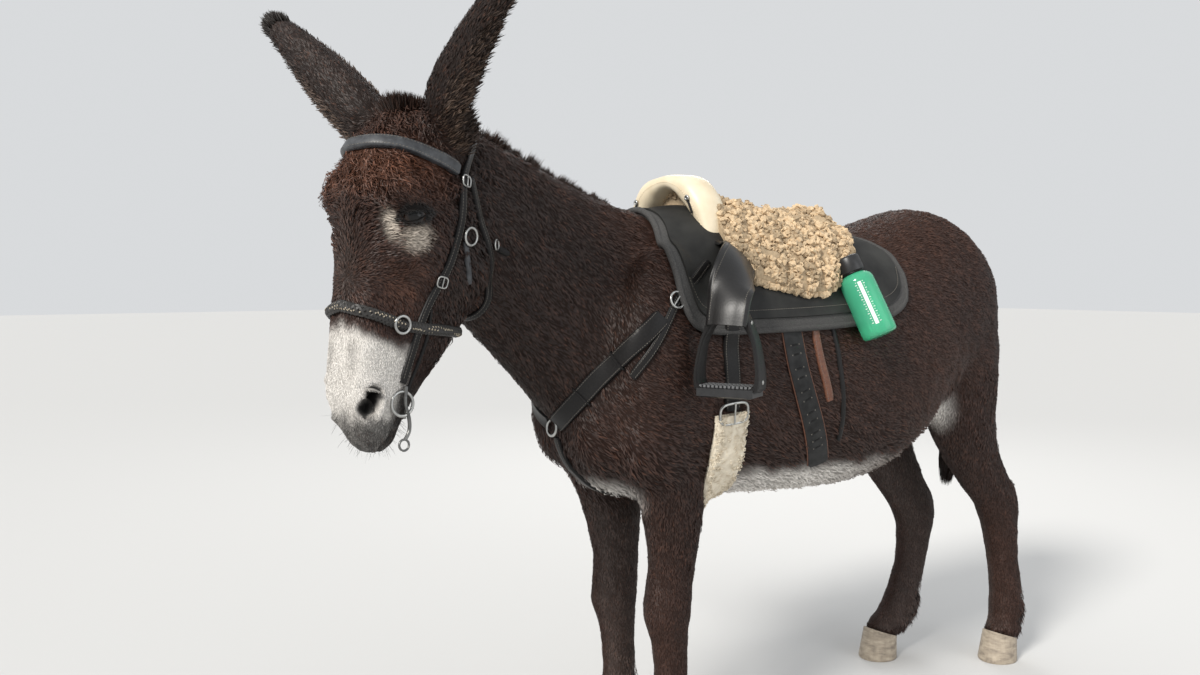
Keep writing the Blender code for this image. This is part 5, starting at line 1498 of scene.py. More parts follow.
def along_of(course, closed=False):
    """The way that a course runs at each of its places."""
    if closed:
        return unit(np.roll(course, -1, 0) - np.roll(course, 1, 0))
    return unit(np.gradient(course, axis=0))


BAND_SINK = 0.003
BAND_CROWN = 0.0008
END_SHARE = 0.79


def eased(rows, rounds, closed=False):
    """Evens out rows of numbers along a course, its ends kept."""
    for _ in range(rounds):
        if closed:
            rows = (np.roll(rows, 1, 0) + 2 * rows + np.roll(rows, -1, 0)) / 4
        else:
            rows = rows.copy()
            rows[1:-1] = (rows[:-2] + 2 * rows[1:-1] + rows[2:]) / 4
    return rows


class Course:
    """A strap's course over a surface: middle, ways along, across and out, and the surface's heights."""

    COLUMNS = 5

    def __init__(self, route, width, tree, step=0.012, closed=False, ease=5):
        middle = spread(route, step)
        if closed:
            middle.pop()
        hits = [tree.find_nearest(point)[:2] for point in middle]
        self.middle = eased(rows_of(hit for hit, _ in hits), ease, closed)
        out = unit(eased(rows_of(normal for _, normal in hits), ease * 3, closed))
        self.along = along_of(self.middle, closed)
        self.across = unit(np.cross(self.along, out))
        self.out = np.cross(self.across, self.along)
        self.width = width
        heights = []
        for share in np.linspace(-0.5, 0.5, self.COLUMNS):
            places = self.middle + self.across * width * share
            on = rows_of(tree.find_nearest(Vector(place))[0] for place in places)
            heights.append(((on - self.middle) * self.out).sum(1))
        self.heights = eased(np.stack(heights, axis=1), ease, closed)

    def at(self, offset, height):
        """Places at an offset across and a height over the surface, for the whole course."""
        shares = np.linspace(-0.5, 0.5, self.COLUMNS) * self.width
        base = np.array([np.interp(offset, shares, row) for row in self.heights])
        return self.middle + self.across * offset + self.out * (base + height)[:, None]

    def section(self, outline):
        """Rings with one outline of offsets and heights, for the whole course."""
        return np.stack([self.at(offset, height) for offset, height in outline], axis=1)

    def axes(self, i):
        return self.across[i], self.along[i], self.out[i]


def lengths_along(course):
    return np.concatenate(([0.0], np.cumsum(np.linalg.norm(np.diff(course, axis=0), axis=1))))


def band(pile, course, thick):
    """A flat strap with rounded edges along a course, its ends narrowed."""
    half = course.width / 2
    inset = min(0.0016, half * 0.3)
    outline = [(-half, -BAND_SINK), (-half, thick * 0.55), (-half + inset, thick * 0.95)]
    outline += [(half * share, thick + BAND_CROWN * (1 - share**2)) for share in (-0.6, -0.2, 0.2, 0.6)]
    outline += [(half - inset, thick * 0.95), (half, thick * 0.55), (half, -BAND_SINK)]
    rings = course.section(outline)
    middle = course.at(0.0, thick * 0.5)
    for i in (0, -1):
        rings[i] = middle[i] + (rings[i] - middle[i]) * END_SHARE
    pile.loft(rings)


def stitches(pile, course, thick, inset=0.0045, pitch=0.0062):
    """Two rows of thread near the edges."""
    lengths = lengths_along(course.middle)
    for offset in (-course.width / 2 + inset, course.width / 2 - inset):
        line = course.at(offset, thick + 0.0004)
        for place in np.arange(pitch, lengths[-1] - pitch, pitch):
            i = int(np.searchsorted(lengths, place)) - 1
            share = (place - lengths[i]) / max(lengths[i + 1] - lengths[i], 1e-6)
            axes = (course.along[i], course.across[i], course.out[i])
            pile.block(mix(line[i], line[i + 1], share), axes, (0.0036, 0.0009, 0.0009))


def buckle(pile, centre, out, along, width, length, wire):
    """A frame of round wire with rounded corners, and its tongue."""
    centre, out, along = Vector(centre), Vector(out).normalized(), Vector(along)
    along = (along - along.dot(out) * out).normalized()
    across = out.cross(along)
    frame_line = []
    for turn in circle(32):
        a, b = rounded(math.cos(turn), 0.55) * width / 2, rounded(math.sin(turn), 0.55) * length / 2
        frame_line.append(centre + across * a + along * b)
    pile.tube(frame_line, wire, 8, True)
    tongue = (centre - along * length * 0.5 + out * wire, centre + along * length * 0.52 + out * wire * 1.4)
    pile.tube(tongue, wire * 0.7, 8)


def slab(pile, top, low):
    """A closed sheet between two grids of places."""
    rows, columns = top.shape[:2]
    index = np.arange(rows * columns).reshape(rows, columns)
    other = index + rows * columns
    faces = []
    for grid, flip in ((index, 1), (other, -1)):
        quads = np.stack([grid[:-1, :-1], grid[:-1, 1:], grid[1:, 1:], grid[1:, :-1]], axis=-1).reshape(-1, 4)
        faces += quads[:, ::flip].tolist()
    rim = np.concatenate([index[0, :], index[1:, -1], index[-1, -2::-1], index[-2:0:-1, 0]])
    for a, b in zip(rim, np.roll(rim, -1)):
        faces.append((b, a, a + rows * columns, b + rows * columns))
    pile.add(np.concatenate([top.reshape(-1, 3), low.reshape(-1, 3)]), faces)
    return rim


SADDLE_AXIS_Z = 1.05
# Covers over the back: y, and how far down each side they reach, in degrees from upright
PAD = (
    (-0.02, 50), (-0.008, 60), (0.025, 66), (0.09, 69), (0.22, 70), (0.34, 71), (0.46, 71),
    (0.58, 70), (0.69, 67), (0.76, 60), (0.785, 46),
)
SKIRT = (
    (0.006, 44), (0.02, 57), (0.06, 63), (0.22, 65), (0.34, 66), (0.46, 66), (0.58, 65),
    (0.67, 63), (0.735, 57), (0.764, 44),
)
SEAT = (
    (0.168, 40), (0.215, 49), (0.29, 53), (0.37, 57), (0.44, 57), (0.51, 50), (0.58, 42),
    (0.638, 30),
)


def cover(rows, tree, count, columns, fore=0.0, rear=0.0):
    """A grid over the back from y and reach in degrees, its ends drawn in at the spine."""
    ys = np.array([row[0] for row in rows])
    reach = np.radians([row[1] for row in rows])
    share = (1 - np.cos(np.linspace(0, np.pi, count))) / 2
    y = ys[0] + (ys[-1] - ys[0]) * share
    turn = eased(np.interp(y, ys, reach)[:, None], 4)[:, 0]
    angle = turn[:, None] * np.linspace(1, -1, columns)[None, :]
    rays = np.stack([np.sin(angle), np.zeros_like(angle), np.cos(angle)], axis=-1)
    spine = smoothstep(0.66, 0.12, np.abs(angle))
    y = y[:, None] + spine * (fore * (1 - share[:, None]) ** 2 - rear * share[:, None] ** 2)
    on = np.zeros_like(rays)
    for i in range(count):
        for j in range(columns):
            start = at(0, y[i, j], SADDLE_AXIS_Z) + Vector(rays[i, j]) * 0.9
            on[i, j] = tree.ray_cast(start, -Vector(rays[i, j]))[0]
    for _ in range(3):
        around = on[:-2, 1:-1] + on[2:, 1:-1] + on[1:-1, :-2] + on[1:-1, 2:]
        on[1:-1, 1:-1] = (around + 2 * on[1:-1, 1:-1]) / 6
    return on, rays


def outer_skin():
    tris = face_table(SKIN["object"].data)
    return BVHTree.FromPolygons(SKIN["outer"].tolist(), tris.tolist())


def joined_tree(*parts):
    """One tree over grids of places and the skin's outer face."""
    points = [SKIN["outer"]]
    faces = [face_table(SKIN["object"].data)]
    start = len(SKIN["outer"])
    for grid in parts:
        rows, columns = grid.shape[:2]
        index = np.arange(rows * columns).reshape(rows, columns) + start
        a, b, c, d = index[:-1, :-1], index[:-1, 1:], index[1:, 1:], index[1:, :-1]
        faces += [np.stack(corners, axis=-1).reshape(-1, 3) for corners in ((a, c, b), (a, d, c))]
        points.append(grid.reshape(-1, 3))
        start += rows * columns
    return BVHTree.FromPolygons(np.concatenate(points).tolist(), np.concatenate(faces).tolist())


LOOKS = {}
GROUND = {}
# The slots of the tack's looks, where they aren't black leather
SLOTS = {
    "felt": "pad_felt",
    "panel": "pad_felt",
    "fleece": "fleece",
    "fleece_shaded": "fleece",
    "cinch": "cinch_fleece",
    "rawhide": "cream_hide",
    "brown": "brown_leather",
    "nickel": "nickel",
    "steel": "nickel",
    "bottle": "green_bottle",
    "tick": "green_bottle",
}


def tack_materials(tack):
    """Every material of the tack, by name."""
    ink, wool_colour, green = (np.array(value) for value in (tack.leather, tack.fleece, tack.bottle))
    dull = {"Specular_IOR_Level": 0.22}
    metal = {"Metallic": 1.0}
    clear = {"Transmission_Weight": 0.45, "IOR": 1.25, "Coat_Weight": 0.4}
    high_wool = np.minimum(1.0, 1.06 * wool_colour)
    finishes = {
        # look: name, darker, lighter, roughness, grain, bump, other inputs
        "leather": ("leather", ink, 2.0 * ink, 0.4, 260, 0.35, dull),
        "glossy": ("glossy_leather", ink, 1.6 * ink, 0.4, 200, 0.25, {}),
        "worn": ("worn_leather", (0.02, 0.021, 0.024), (0.06, 0.064, 0.07), 0.42, 70, 0.5, {}),
        "brown": ("brown_leather", (0.085, 0.03, 0.016), (0.17, 0.066, 0.034), 0.45, 150, 0.3, {}),
        "felt": ("pad_felt", (0.04, 0.039, 0.039), (0.095, 0.093, 0.09), 0.95, 420, 0.8, dull),
        "panel": ("worn_panel", (0.01, 0.01, 0.01), (0.034, 0.034, 0.032), 0.6, 9, 0.2, dull),
        "strap": ("worn_strap", (0.008, 0.008, 0.008), (0.026, 0.026, 0.026), 0.5, 40, 0.3, dull),
        "rawhide": ("cream_hide", (0.66, 0.55, 0.38), (0.8, 0.71, 0.54), 0.42, 14, 0.15, {}),
        "fleece": ("fleece", 0.8 * wool_colour, high_wool, 0.95, 160, 0.8, {}),
        # a darker copy of the fleece: painted shade between and under the wool
        "fleece_shaded": ("fleece_shaded", 0.48 * wool_colour, 0.7 * wool_colour, 0.95, 160, 0.8, {}),
        "cinch": ("cinch_fleece", (0.58, 0.5, 0.38), (0.8, 0.73, 0.6), 0.95, 60, 0.6, {}),
        "nickel": ("nickel", (0.34, 0.34, 0.33), (0.52, 0.52, 0.5), 0.3, 90, 0.05, metal),
        "steel": ("bit_steel", (0.1, 0.1, 0.1), (0.26, 0.26, 0.25), 0.35, 60, 0.2, metal),
        "grip": ("grey_rubber", (0.09, 0.092, 0.095), (0.14, 0.142, 0.146), 0.6, 200, 0.2, {}),
        "thread": ("thread", (0.11, 0.1, 0.085), (0.22, 0.2, 0.17), 0.8, 300, 0.0, {}),
        # near-black: painted shade for the billet's slots
        "hole": ("slot", (0.002, 0.002, 0.002), (0.003, 0.003, 0.003), 0.9, 50, 0.0, {}),
        "braid": ("braid", (0.015, 0.014, 0.013), (0.03, 0.028, 0.026), 0.5, 300, 0.2, {}),
        "cream_braid": ("cream_braid", (0.3, 0.25, 0.18), (0.48, 0.42, 0.32), 0.6, 200, 0.2, {}),
        "tick": ("tick", (0.75, 0.8, 0.78), (0.85, 0.88, 0.86), 0.5, 50, 0.0, {}),
        "bottle": ("green_bottle", green, np.minimum(1.0, 1.15 * green), 0.22, 12, 0.0, clear),
        "plastic": ("black_plastic", (0.012, 0.012, 0.013), (0.02, 0.02, 0.021), 0.35, 80, 0.05, {}),
    }
    return {look: plain_material(*values, **inputs) for look, (*values, inputs) in finishes.items()}


def mirrored(route, side):
    return [at(x * side, y, z) for x, y, z in route]


def strap(name, route, width, thick, tree, look, nodes=(), sewn=True, step=0.012):
    """One strap and its thread."""
    course = Course(route, width, tree, step)
    piled(name, look, nodes, band, course, thick)
    if sewn:
        thread = Pile()
        stitches(thread, course, thick)
        thread.make(name + "_thread", "thread", slot=SLOTS.get(look))
    return course


FORK = (
    # x, y, z, half depth, half thickness
    (0.155, 0.172, 1.325, 0.03, 0.012), (0.145, 0.172, 1.39, 0.04, 0.018),
    (0.115, 0.168, 1.455, 0.048, 0.034), (0.075, 0.164, 1.5, 0.05, 0.036),
    (0.035, 0.162, 1.518, 0.044, 0.023), (0.000, 0.162, 1.524, 0.042, 0.019),
)
FENDER = (
    # x, y, z, width
    (0.18, 0.19, 1.345, 0.1), (0.245, 0.16, 1.322, 0.12), (0.3, 0.1, 1.3, 0.116),
    (0.336, 0.048, 1.255, 0.106), (0.352, 0.021, 1.21, 0.102), (0.357, 0.009, 1.166, 0.098),
)
BILLET = (
    (0.245, 0.318, 1.235), (0.284, 0.318, 1.1), (0.292, 0.35, 0.98), (0.272, 0.41, 0.86),
    (0.238, 0.458, 0.785),
)
BROWN = ((0.262, 0.395, 1.215), (0.29, 0.395, 1.1), (0.3, 0.415, 1.02), (0.301, 0.432, 0.96))
THONG = ((0.28, 0.452, 1.17), (0.3, 0.465, 1.05), (0.3, 0.478, 0.95), (0.283, 0.488, 0.85))
LATIGO = ((0.25, 0.13, 1.19), (0.265, 0.13, 1.1), (0.267, 0.132, 1.02), (0.264, 0.134, 0.95))
CINCH = (
    (0.0, 0.18, 0.7), (0.11, 0.172, 0.72), (0.18, 0.16, 0.78), (0.225, 0.146, 0.86),
    (0.24, 0.135, 0.945),
)
STIRRUP_AT = (0.345, 0.035, 1.008)
STIRRUP_TURN = (0.906, 0.423)
STIRRUP_LOOP = (
    # left, up, depth, and the inner face's offset to the left and up
    (-0.078, 0.000, 0.066, -0.012, -0.016), (-0.08, 0.05, 0.06, -0.009, 0.000),
    (-0.068, 0.125, 0.046, -0.009, 0.003), (-0.036, 0.203, 0.04, -0.008, 0.03),
    (0.036, 0.203, 0.04, 0.008, 0.03), (0.068, 0.125, 0.046, 0.009, 0.003),
    (0.08, 0.05, 0.06, 0.009, 0.000), (0.078, 0.000, 0.066, 0.012, -0.016),
)


# The sheepskin's lumps: shift of the pattern, size and height
LUMPS = ((0.0, 0.024, 0.0105), (3.1, 0.012, 0.003), (7.7, 0.0045, 0.0016))


def wool(pile, places, outs, size, draw, radius, around=3, taper=(0.8, 1, 1, 0.8, 0.4)):
    """Small curls of wool standing on a surface."""
    for place, out in zip(places, outs):
        axis = unit(out + 0.9 * draw.standard_normal(3))
        side = unit(np.cross(axis, draw.standard_normal(3)))
        up = np.cross(axis, side)
        long = size * draw.uniform(0.7, 1.3)
        start = draw.uniform(0, 2 * np.pi)
        turns = start + np.linspace(0, 1, 5) * draw.uniform(4.0, 6.0)
        rise = np.linspace(-0.1, 0.55, 5)[:, None] * long * axis
        curl = (np.outer(np.cos(turns), side) + np.outer(np.sin(turns), up)) * long * 0.42
        pile.tube(place + rise + curl, radius * np.array(taper), around)


PAD_THICK = 0.0165
SKIRT_THICK = 0.0055
STITCH = (0.0042, 0.001, 0.0012)


def pad_and_skirts():
    """The felt pad with its binding, and the leather skirts on it."""
    GROUND["skin"] = outer_skin()
    on, rays = cover(PAD, GROUND["skin"], 56, 81, 0.05, 0.11)
    top, low = on + rays * PAD_THICK, on - rays * 0.004
    pile = Pile()
    rim = slab(pile, top, low)
    pile.make("pad", "felt", ("saddle_pad",))
    hem = (top * 0.72 + low * 0.28).reshape(-1, 3)[rim][::2]
    piled("pad_binding", "felt", (), Pile.tube, hem, 0.0085, 8, True)
    on, rays = cover(SKIRT, joined_tree(top), 50, 71, 0.045, 0.12)
    skirt = on + rays * SKIRT_THICK
    piled("skirts", "panel", (), slab, skirt, on - rays * 0.001)
    thread = Pile()
    for column, out in ((2, rays[2, 1]), (-3, rays[2, -2])):
        points = spread(skirt[2:-2, column], 0.007)
        thread.thread(points, [Vector(out)] * len(points), STITCH, 0.0002)
    thread.make("skirt_thread", "thread", slot="pad_felt")
    GROUND["pad_top"] = skirt
    GROUND["pad"] = joined_tree(top, skirt)


def sheepskin():
    """The fleece over the seat: a lumpy sheet under knobs and curls of wool."""
    rows, columns = ((96, 141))
    on, rays = cover(SEAT, GROUND["pad"], rows, columns)
    share_y = np.linspace(-1, 1, rows)[:, None]
    share_x = np.linspace(-1, 1, columns)[None, :]
    edge = (1 - np.abs(share_y) ** 6) ** 0.5 * (1 - np.abs(share_x) ** 8) ** 0.5
    place = (on - HOME).reshape(-1, 3)
    lumps = sum(clump_field(place + shift, size) * height for shift, size, height in LUMPS)
    lumps = lumps.reshape(rows, columns)
    dip = 0.006 * np.exp(-((share_x / 0.5) ** 2)) * (1 - share_y**2)
    rise = 0.036 * smoothstep(0.42, 0.9, share_y) * smoothstep(0.8, 0.25, np.abs(share_x))
    top = on + rays * (0.007 + edge * (0.028 + lumps - dip + rise))[:, :, None]
    # the sheet beneath the wool takes the darker copy of the fleece: painted shade between knobs and curls
    piled("sheepskin", "fleece_shaded", ("seat_fleece",), slab, top, on - rays * 0.001)
    draw = np.random.default_rng(SEED + 4)
    count = 3700
    corner = top[1:-2, 1:-2]
    cells = np.linalg.norm(np.cross(top[2:-1, 1:-2] - corner, top[1:-2, 2:-1] - corner), axis=2)
    pick = draw.choice(cells.size, count, p=cells.ravel() / cells.sum())
    i, j = pick // cells.shape[1] + 1, pick % cells.shape[1] + 1
    across, ahead = draw.random((count, 1)), draw.random((count, 1))
    places = top[i, j] + (top[i, j + 1] - top[i, j]) * across + (top[i + 1, j] - top[i, j]) * ahead
    on_rim = draw.random(count) < 0.16
    right = draw.random(count) < 0.5
    for chosen, column in ((on_rim & right, -1), (on_rim & ~right, 0)):
        places[chosen] = top[i[chosen], column] - rays[i[chosen], column] * 0.002
    outs = rays[i, j]
    fat = int(count * 0.65)
    low = clump_field(places[:fat] - HOME, LUMPS[0][1]) < -0.12
    # knobs in the lumps' hollows take the darker copy too: painted shade
    for label, chosen, look in (("high", ~low, "fleece"), ("low", low, "fleece_shaded")):
        roots, ways = places[:fat][chosen], outs[:fat][chosen]
        shape = (0.0062, 5, (0.5, 1, 1.15, 1, 0.45))
        piled("sheepskin_knobs_" + label, look, (), wool, roots, ways, 0.0115, draw, *shape)
    roots = places[fat:] + outs[fat:] * 0.003
    piled("sheepskin_curls", "fleece", (), wool, roots, outs[fat:], 0.011, draw, 0.0021)


def fork():
    """The cream pommel, with lace, rolls, keepers and studs."""
    rows = np.concatenate([np.array(FORK) * (-1, 1, 1, 1, 1), np.array(FORK)[-2::-1]])
    course = rows[:, :3]
    points = rows_of(spread(course, 0.008))
    lengths = lengths_along(course)
    spots = np.linspace(0, lengths[-1], len(points))
    deep, thick = (eased(np.interp(spots, lengths, rows[:, k])[:, None], 6) for k in (3, 4))
    up = unit(np.cross(along_of(points), np.array((0.0, 1.0, 0.0))))
    turns = np.arange(28) * 2 * np.pi / 28
    c, s = (np.sign(wave) * np.abs(wave) ** 0.85 for wave in (np.cos(turns), np.sin(turns)))
    rings = points[:, None] + c[None, :, None] * deep[:, None] * np.array((0, 1.0, 0))
    rings = rings + s[None, :, None] * (thick * up)[:, None, :] + HOME
    piled("fork", "rawhide", ("saddle_fork",), Pile.loft, rings)
    roll = Pile()
    for place in (0.055, 0.945):
        ring = rings[int(place * (len(points) - 1))]
        roll.tube(mix(ring.mean(0), ring, 1.04), 0.0042, 8, True)
    roll.make("fork_rolls", "leather")
    lace, studs = Pile(), Pile()
    for side, name in SIDES:
        edge = [ring[np.argmax(ring[:, 1] * side)] for ring in rings[5:-5]]
        for a, b in zip(edge, edge[1:]):
            along = unit(b - a)
            axes = (along, np.cross(along, (0, side, 0)), (0, side, 0))
            lace.block((a + b) / 2, axes, (0.0052, 0.0016, 0.0016))
    lace.make("fork_lace", "rawhide")
    for side, name in SIDES:
        for x, z in ((0.15, 1.352), (0.148, 1.376)):
            studs.ring(at(x * side, 0.172 - 0.036, z), (0, -1, 0), 0.0032, 0.0022, 12)
        ring = rings[int(round((0.5 + side * 0.22) * (len(points) - 1)))]
        face = Vector(ring[np.argmin(ring[:, 1])])
        keeper = [face + Vector((0, -0.003, 0.004)), face + Vector((side * 0.012, 0.004, -0.034))]
        piled("fork_keeper_" + name, "leather", (), Pile.tube, spread(keeper, 0.006), 0.0034, 6)
        studs.ring(face + Vector((0, -0.0045, 0.004)), (0, -1, 0), 0.005, 0.003, 16)
    studs.make("fork_studs", "nickel")


def fenders():
    """The broad leathers that carry the stirrups."""
    for side, name in SIDES:
        points = spread(mirrored([row[:3] for row in FENDER], side), 0.01)
        places = rows_of(points)
        heights = np.array([p.z for p in points])
        wides = np.interp(-heights, [-(z + ORIGIN.z) for _, _, z, _ in FENDER], [row[3] for row in FENDER])
        turn = smoothstep(1.318, 1.215, heights)[:, None]
        facing = unit(mix(np.array((side, 0, 0.35)), np.array((side * 0.423, -0.906, 0.05)), turn))
        along = along_of(places)
        across = unit(np.cross(along, facing))
        out = np.cross(across, along)
        shares = np.array((-1, -0.96, -0.91, -0.86, -0.8, -0.5, 0, 0.5, 0.8, 0.86, 0.91, 0.96, 1))
        bow = 0.014 * (1 - shares**2) + 0.0022 * bump(np.abs(np.abs(shares) - 0.88), 0.06)
        shares, bow = np.concatenate([shares, shares[::-1]]), np.concatenate([bow, bow[::-1] - 0.006])
        rings = places[:, None] + across[:, None] * (wides[:, None, None] / 2) * shares[None, :, None]
        rings = rings + out[:, None] * bow[None, :, None]
        piled("fender_leather_" + name, "glossy", ("fender_" + name,), Pile.loft, rings)
        thread = Pile()
        for edge in (4, 8):
            fine = spread(rings[1:-1, edge], 0.0065)
            outs = [Vector(out[1 + i * (len(out) - 3) // len(fine)]) for i in range(len(fine))]
            thread.thread(fine, outs, (0.004, *STITCH[1:]))
        thread.make("fender_thread_" + name, "thread")


def stirrups():
    """Leather-covered stirrups with a wrapped top block and a rubber tread."""
    loop = np.array(STIRRUP_LOOP)
    fine = [a + (b - a) * k / 5 for a, b in zip(loop, np.roll(loop, -1, 0)) for k in range(5)]
    loop = eased(np.array(fine), 2, True)
    for side, name in SIDES:
        wide = Vector((side * STIRRUP_TURN[0], STIRRUP_TURN[1], 0)).normalized()
        fore = Vector((0, 0, 1)).cross(wide).normalized()
        axes = (wide, fore, (0, 0, 1))
        middle = at(side * STIRRUP_AT[0], STIRRUP_AT[1], STIRRUP_AT[2])

        def spot(left, up, ahead):
            return middle + wide * left + Vector((0, 0, up)) + fore * ahead

        rings = []
        for left, up, depth, thick_left, thick_up in loop:
            ring = []
            for t in np.arange(12) * 2 * np.pi / 12 + np.pi / 12:
                share = (1 - rounded(math.cos(t), 0.4)) / 2
                ring.append(spot(left - thick_left * share, up - thick_up * share,
                                 rounded(math.sin(t), 0.4) * depth / 2))
            rings.append(rows_of(ring))
        piled("stirrup_frame_" + name, "leather", ("stirrup_" + name,), Pile.loft, rings, True)
        wrap, grip, bolts = Pile(), Pile(), Pile()
        for left in np.linspace(-0.03, 0.03, 7):
            turns = [(rounded(math.cos(t), 0.5), rounded(math.sin(t), 0.5)) for t in circle(20)]
            wrap.tube([spot(left, 0.188 + 0.0172 * b, 0.0215 * a) for a, b in turns], 0.0042, 6, True)
        wrap.make("stirrup_wrap_" + name, "leather")
        sizes = (0.136, 0.07, 0.024)
        piled("stirrup_tread_" + name, "plastic", (), Pile.block, spot(0, 0.005, 0), axes, sizes)
        for i in range(13):
            for j in range(4):
                place = spot(-0.06 + i * 0.01, 0.0185, (j - 1.5) * 0.0165)
                grip.block(place, axes, (0.006, 0.0125, 0.006))
        grip.make("stirrup_grip_" + name, "grip")
        for edge in (-1, 1):
            for up in (0.03, 0.165):
                left = edge * np.interp(up, (0.0, 0.05, 0.125, 0.203), (0.078, 0.08, 0.068, 0.036))
                bolts.ring(spot(left + edge * 0.0004, up, 0), wide, 0.0035, 0.0018, 12)
        bolts.make("stirrup_bolts_" + name, "nickel")


CINCH_WIDE = 0.092
CINCH_OUTLINE = ((-0.046, -0.004), (-0.048, 0.006), (-0.042, 0.013), (-0.023, 0.016), (0, 0.0165),
                 (0.023, 0.016), (0.042, 0.013), (0.048, 0.006), (0.046, -0.004))


def billet(side, name):
    """The long punched strap with its brown edges, slots and dots; the slots are near-black blocks of painted
    shade.
    """
    course = strap("billet_band_" + name, mirrored(BILLET, side), 0.06, 0.0055, GROUND["pad"], "strap",
                   ("billet_" + name,), sewn=False)
    edges, slots, dots = Pile(), Pile(), Pile()
    for offset in (-0.0302, 0.0302):
        edges.tube(course.at(offset, 0.0026)[1:-1], 0.0019, 6)
    edges.make("billet_edge_" + name, "brown")
    line, *beside = (course.at(offset, 0.0062) for offset in (0.0, -0.013, 0.013))
    lengths = lengths_along(line)
    for k in range(13):
        want = 0.08 + 0.03 * k
        if want < lengths[-1] - 0.02:
            i = int(np.searchsorted(lengths, want)) - 1
            # each slot is a thin near-black block on the strap: painted shade for the hole
            slots.block(line[i] + course.out[i] * 0.0001, course.axes(i), (0.015, 0.005, 0.0012))
            for row in beside:
                dots.block(row[i], course.axes(i), (0.0022, 0.0034, 0.001))
    slots.make("billet_slot_shade_" + name, "hole")
    dots.make("billet_dots_" + name, "thread")


def side_straps():
    """Billet, brown strap, thong and latigo of both sides."""
    for side, name in SIDES:
        billet(side, name)
        for key, node, route, width, thick, look, sewn in (
            ("brown_band_", "brown_strap_", BROWN, 0.024, 0.0045, "brown", True),
            ("thong_band_", "thong_", THONG, 0.014, 0.004, "leather", False),
            ("latigo_band_", "latigo_", LATIGO, 0.044, 0.0065, "leather", True),
        ):
            strap(key + name, mirrored(route, side), width, thick, GROUND["pad"], look, (node + name,), sewn)


def cinch():
    """The fleece girth, with short wool and a buckle at each end."""
    course = Course(mirrored(CINCH[:0:-1], -1) + mirrored(CINCH, 1), CINCH_WIDE, GROUND["skin"], 0.008)
    rings = course.section(CINCH_OUTLINE)
    lumps = clump_field((rings - HOME).reshape(-1, 3), 0.014).reshape(rings.shape[:2]) * 0.0016
    rings += course.out[:, None] * lumps[:, :, None]
    piled("fleece_cinch", "cinch", ("cinch",), Pile.loft, rings)
    draw = np.random.default_rng(SEED + 6)
    count = 1600
    rows = draw.integers(0, len(course.middle), count)
    offsets = draw.uniform(-1, 1, count)
    offsets = np.sign(offsets) * np.abs(offsets) ** 0.6 * 0.047
    columns = np.linspace(-0.5, 0.5, Course.COLUMNS) * CINCH_WIDE
    heights = [np.interp(o, columns, course.heights[i]) + 0.014 - 0.006 * (abs(o) > 0.042)
               for i, o in zip(rows, offsets)]
    places = course.middle[rows] + course.across[rows] * offsets[:, None]
    places = places + course.out[rows] * np.array(heights)[:, None]
    piled("cinch_wool", "cinch", (), wool, places, course.out[rows], 0.0085, draw, 0.0014)
    fittings = Pile()
    for end, way in ((0, -1), (-1, 1)):
        centre = course.middle[end] + course.out[end] * 0.014 + course.along[end] * way * 0.004
        buckle(fittings, centre, course.out[end], course.along[end], 0.082, 0.052, 0.0036)
    fittings.make("cinch_buckles", "nickel")


CAP_END = (0.27, 0.52, 1.33)
FOOT_END = (0.358, 0.56, 1.125)
BOTTLE = (
    (0.205, 0.0235), (0.225, 0.026), (0.25, 0.036), (0.28, 0.0425), (0.32, 0.0455),
    (0.4, 0.046), (0.6, 0.046), (0.92, 0.046), (0.965, 0.0455), (0.985, 0.0425), (0.996, 0.036),
    (1.0, 0.028), (0.992, 0.016),
)
CAP = (
    (0.012, 0.01), (0.01, 0.026), (0.02, 0.03), (0.04, 0.0318), (0.18, 0.0325),
    (0.2, 0.0312), (0.206, 0.024),
)


def turned(pile, start, end, profile, around, ridges=0.0):
    """A turned piece along a line: shares of its length and radii."""
    way = (end - start).normalized()
    rings = []
    for share, radius in profile:
        centre = start.lerp(end, share)
        even, odd = (loop_round(centre, way, radius * (1 + rise), around) for rise in (0.0, ridges))
        rings.append(rows_of(odd[i] if i % 2 else even[i] for i in range(around)))
    pile.loft(rings)


BOTTLE_STRAPS = (
    ((0.19, 0.6, 1.375), (0.222, 0.56, 1.34), (0.262, 0.545, 1.29)),
    ((0.15, 0.64, 1.385), (0.2, 0.59, 1.365), (0.262, 0.5, 1.292)),
)
BOTTLE_FACE = 0.0461
SCALE_TURN = -0.12


def bottle():
    """A green bottle hung from the cantle, with plain measuring marks."""
    start, end = at(*CAP_END), at(*FOOT_END)
    piled("water_bottle", "bottle", ("bottle",), turned, start, end, BOTTLE, 48)
    cap = Pile()
    turned(cap, start, end, CAP, 56, 0.03)
    cap.make("screw_cap", "plastic", ("bottle_cap",), "black_plastic")
    along = (end - start).normalized()
    # the marks lie on the side that faces the camera
    out = at(*CAMERA_AT) - start.lerp(end, 0.6)
    out = (out - out.dot(along) * along).normalized()
    across = along.cross(out)
    marks = Pile()

    def mark(turn, share, wide, high):
        way = out * math.cos(turn) + across * math.sin(turn)
        place = start.lerp(end, share) + way * BOTTLE_FACE
        marks.block(place, (way.cross(along), along, way), (wide, high, 0.0007))

    mark(SCALE_TURN, 0.605, 0.0095, 0.52 * (end - start).length)
    for k in range(18):
        wide = 0.0052 if k % 2 else 0.0026
        for sign in (-1, 1):
            mark(SCALE_TURN + sign * (0.0078 + wide / 2) / 0.046, 0.35 + 0.029 * k, wide, 0.0016)
    marks.make("bottle_marks", "tick")
    loop = Pile()
    loop.ring(start.lerp(end, 0.212), along, 0.0275, 0.003, 24, 6)
    for course in BOTTLE_STRAPS:
        loop.tube(spread([at(*point) for point in course], 0.008), 0.0036, 6)
    loop.make("bottle_straps", "leather")


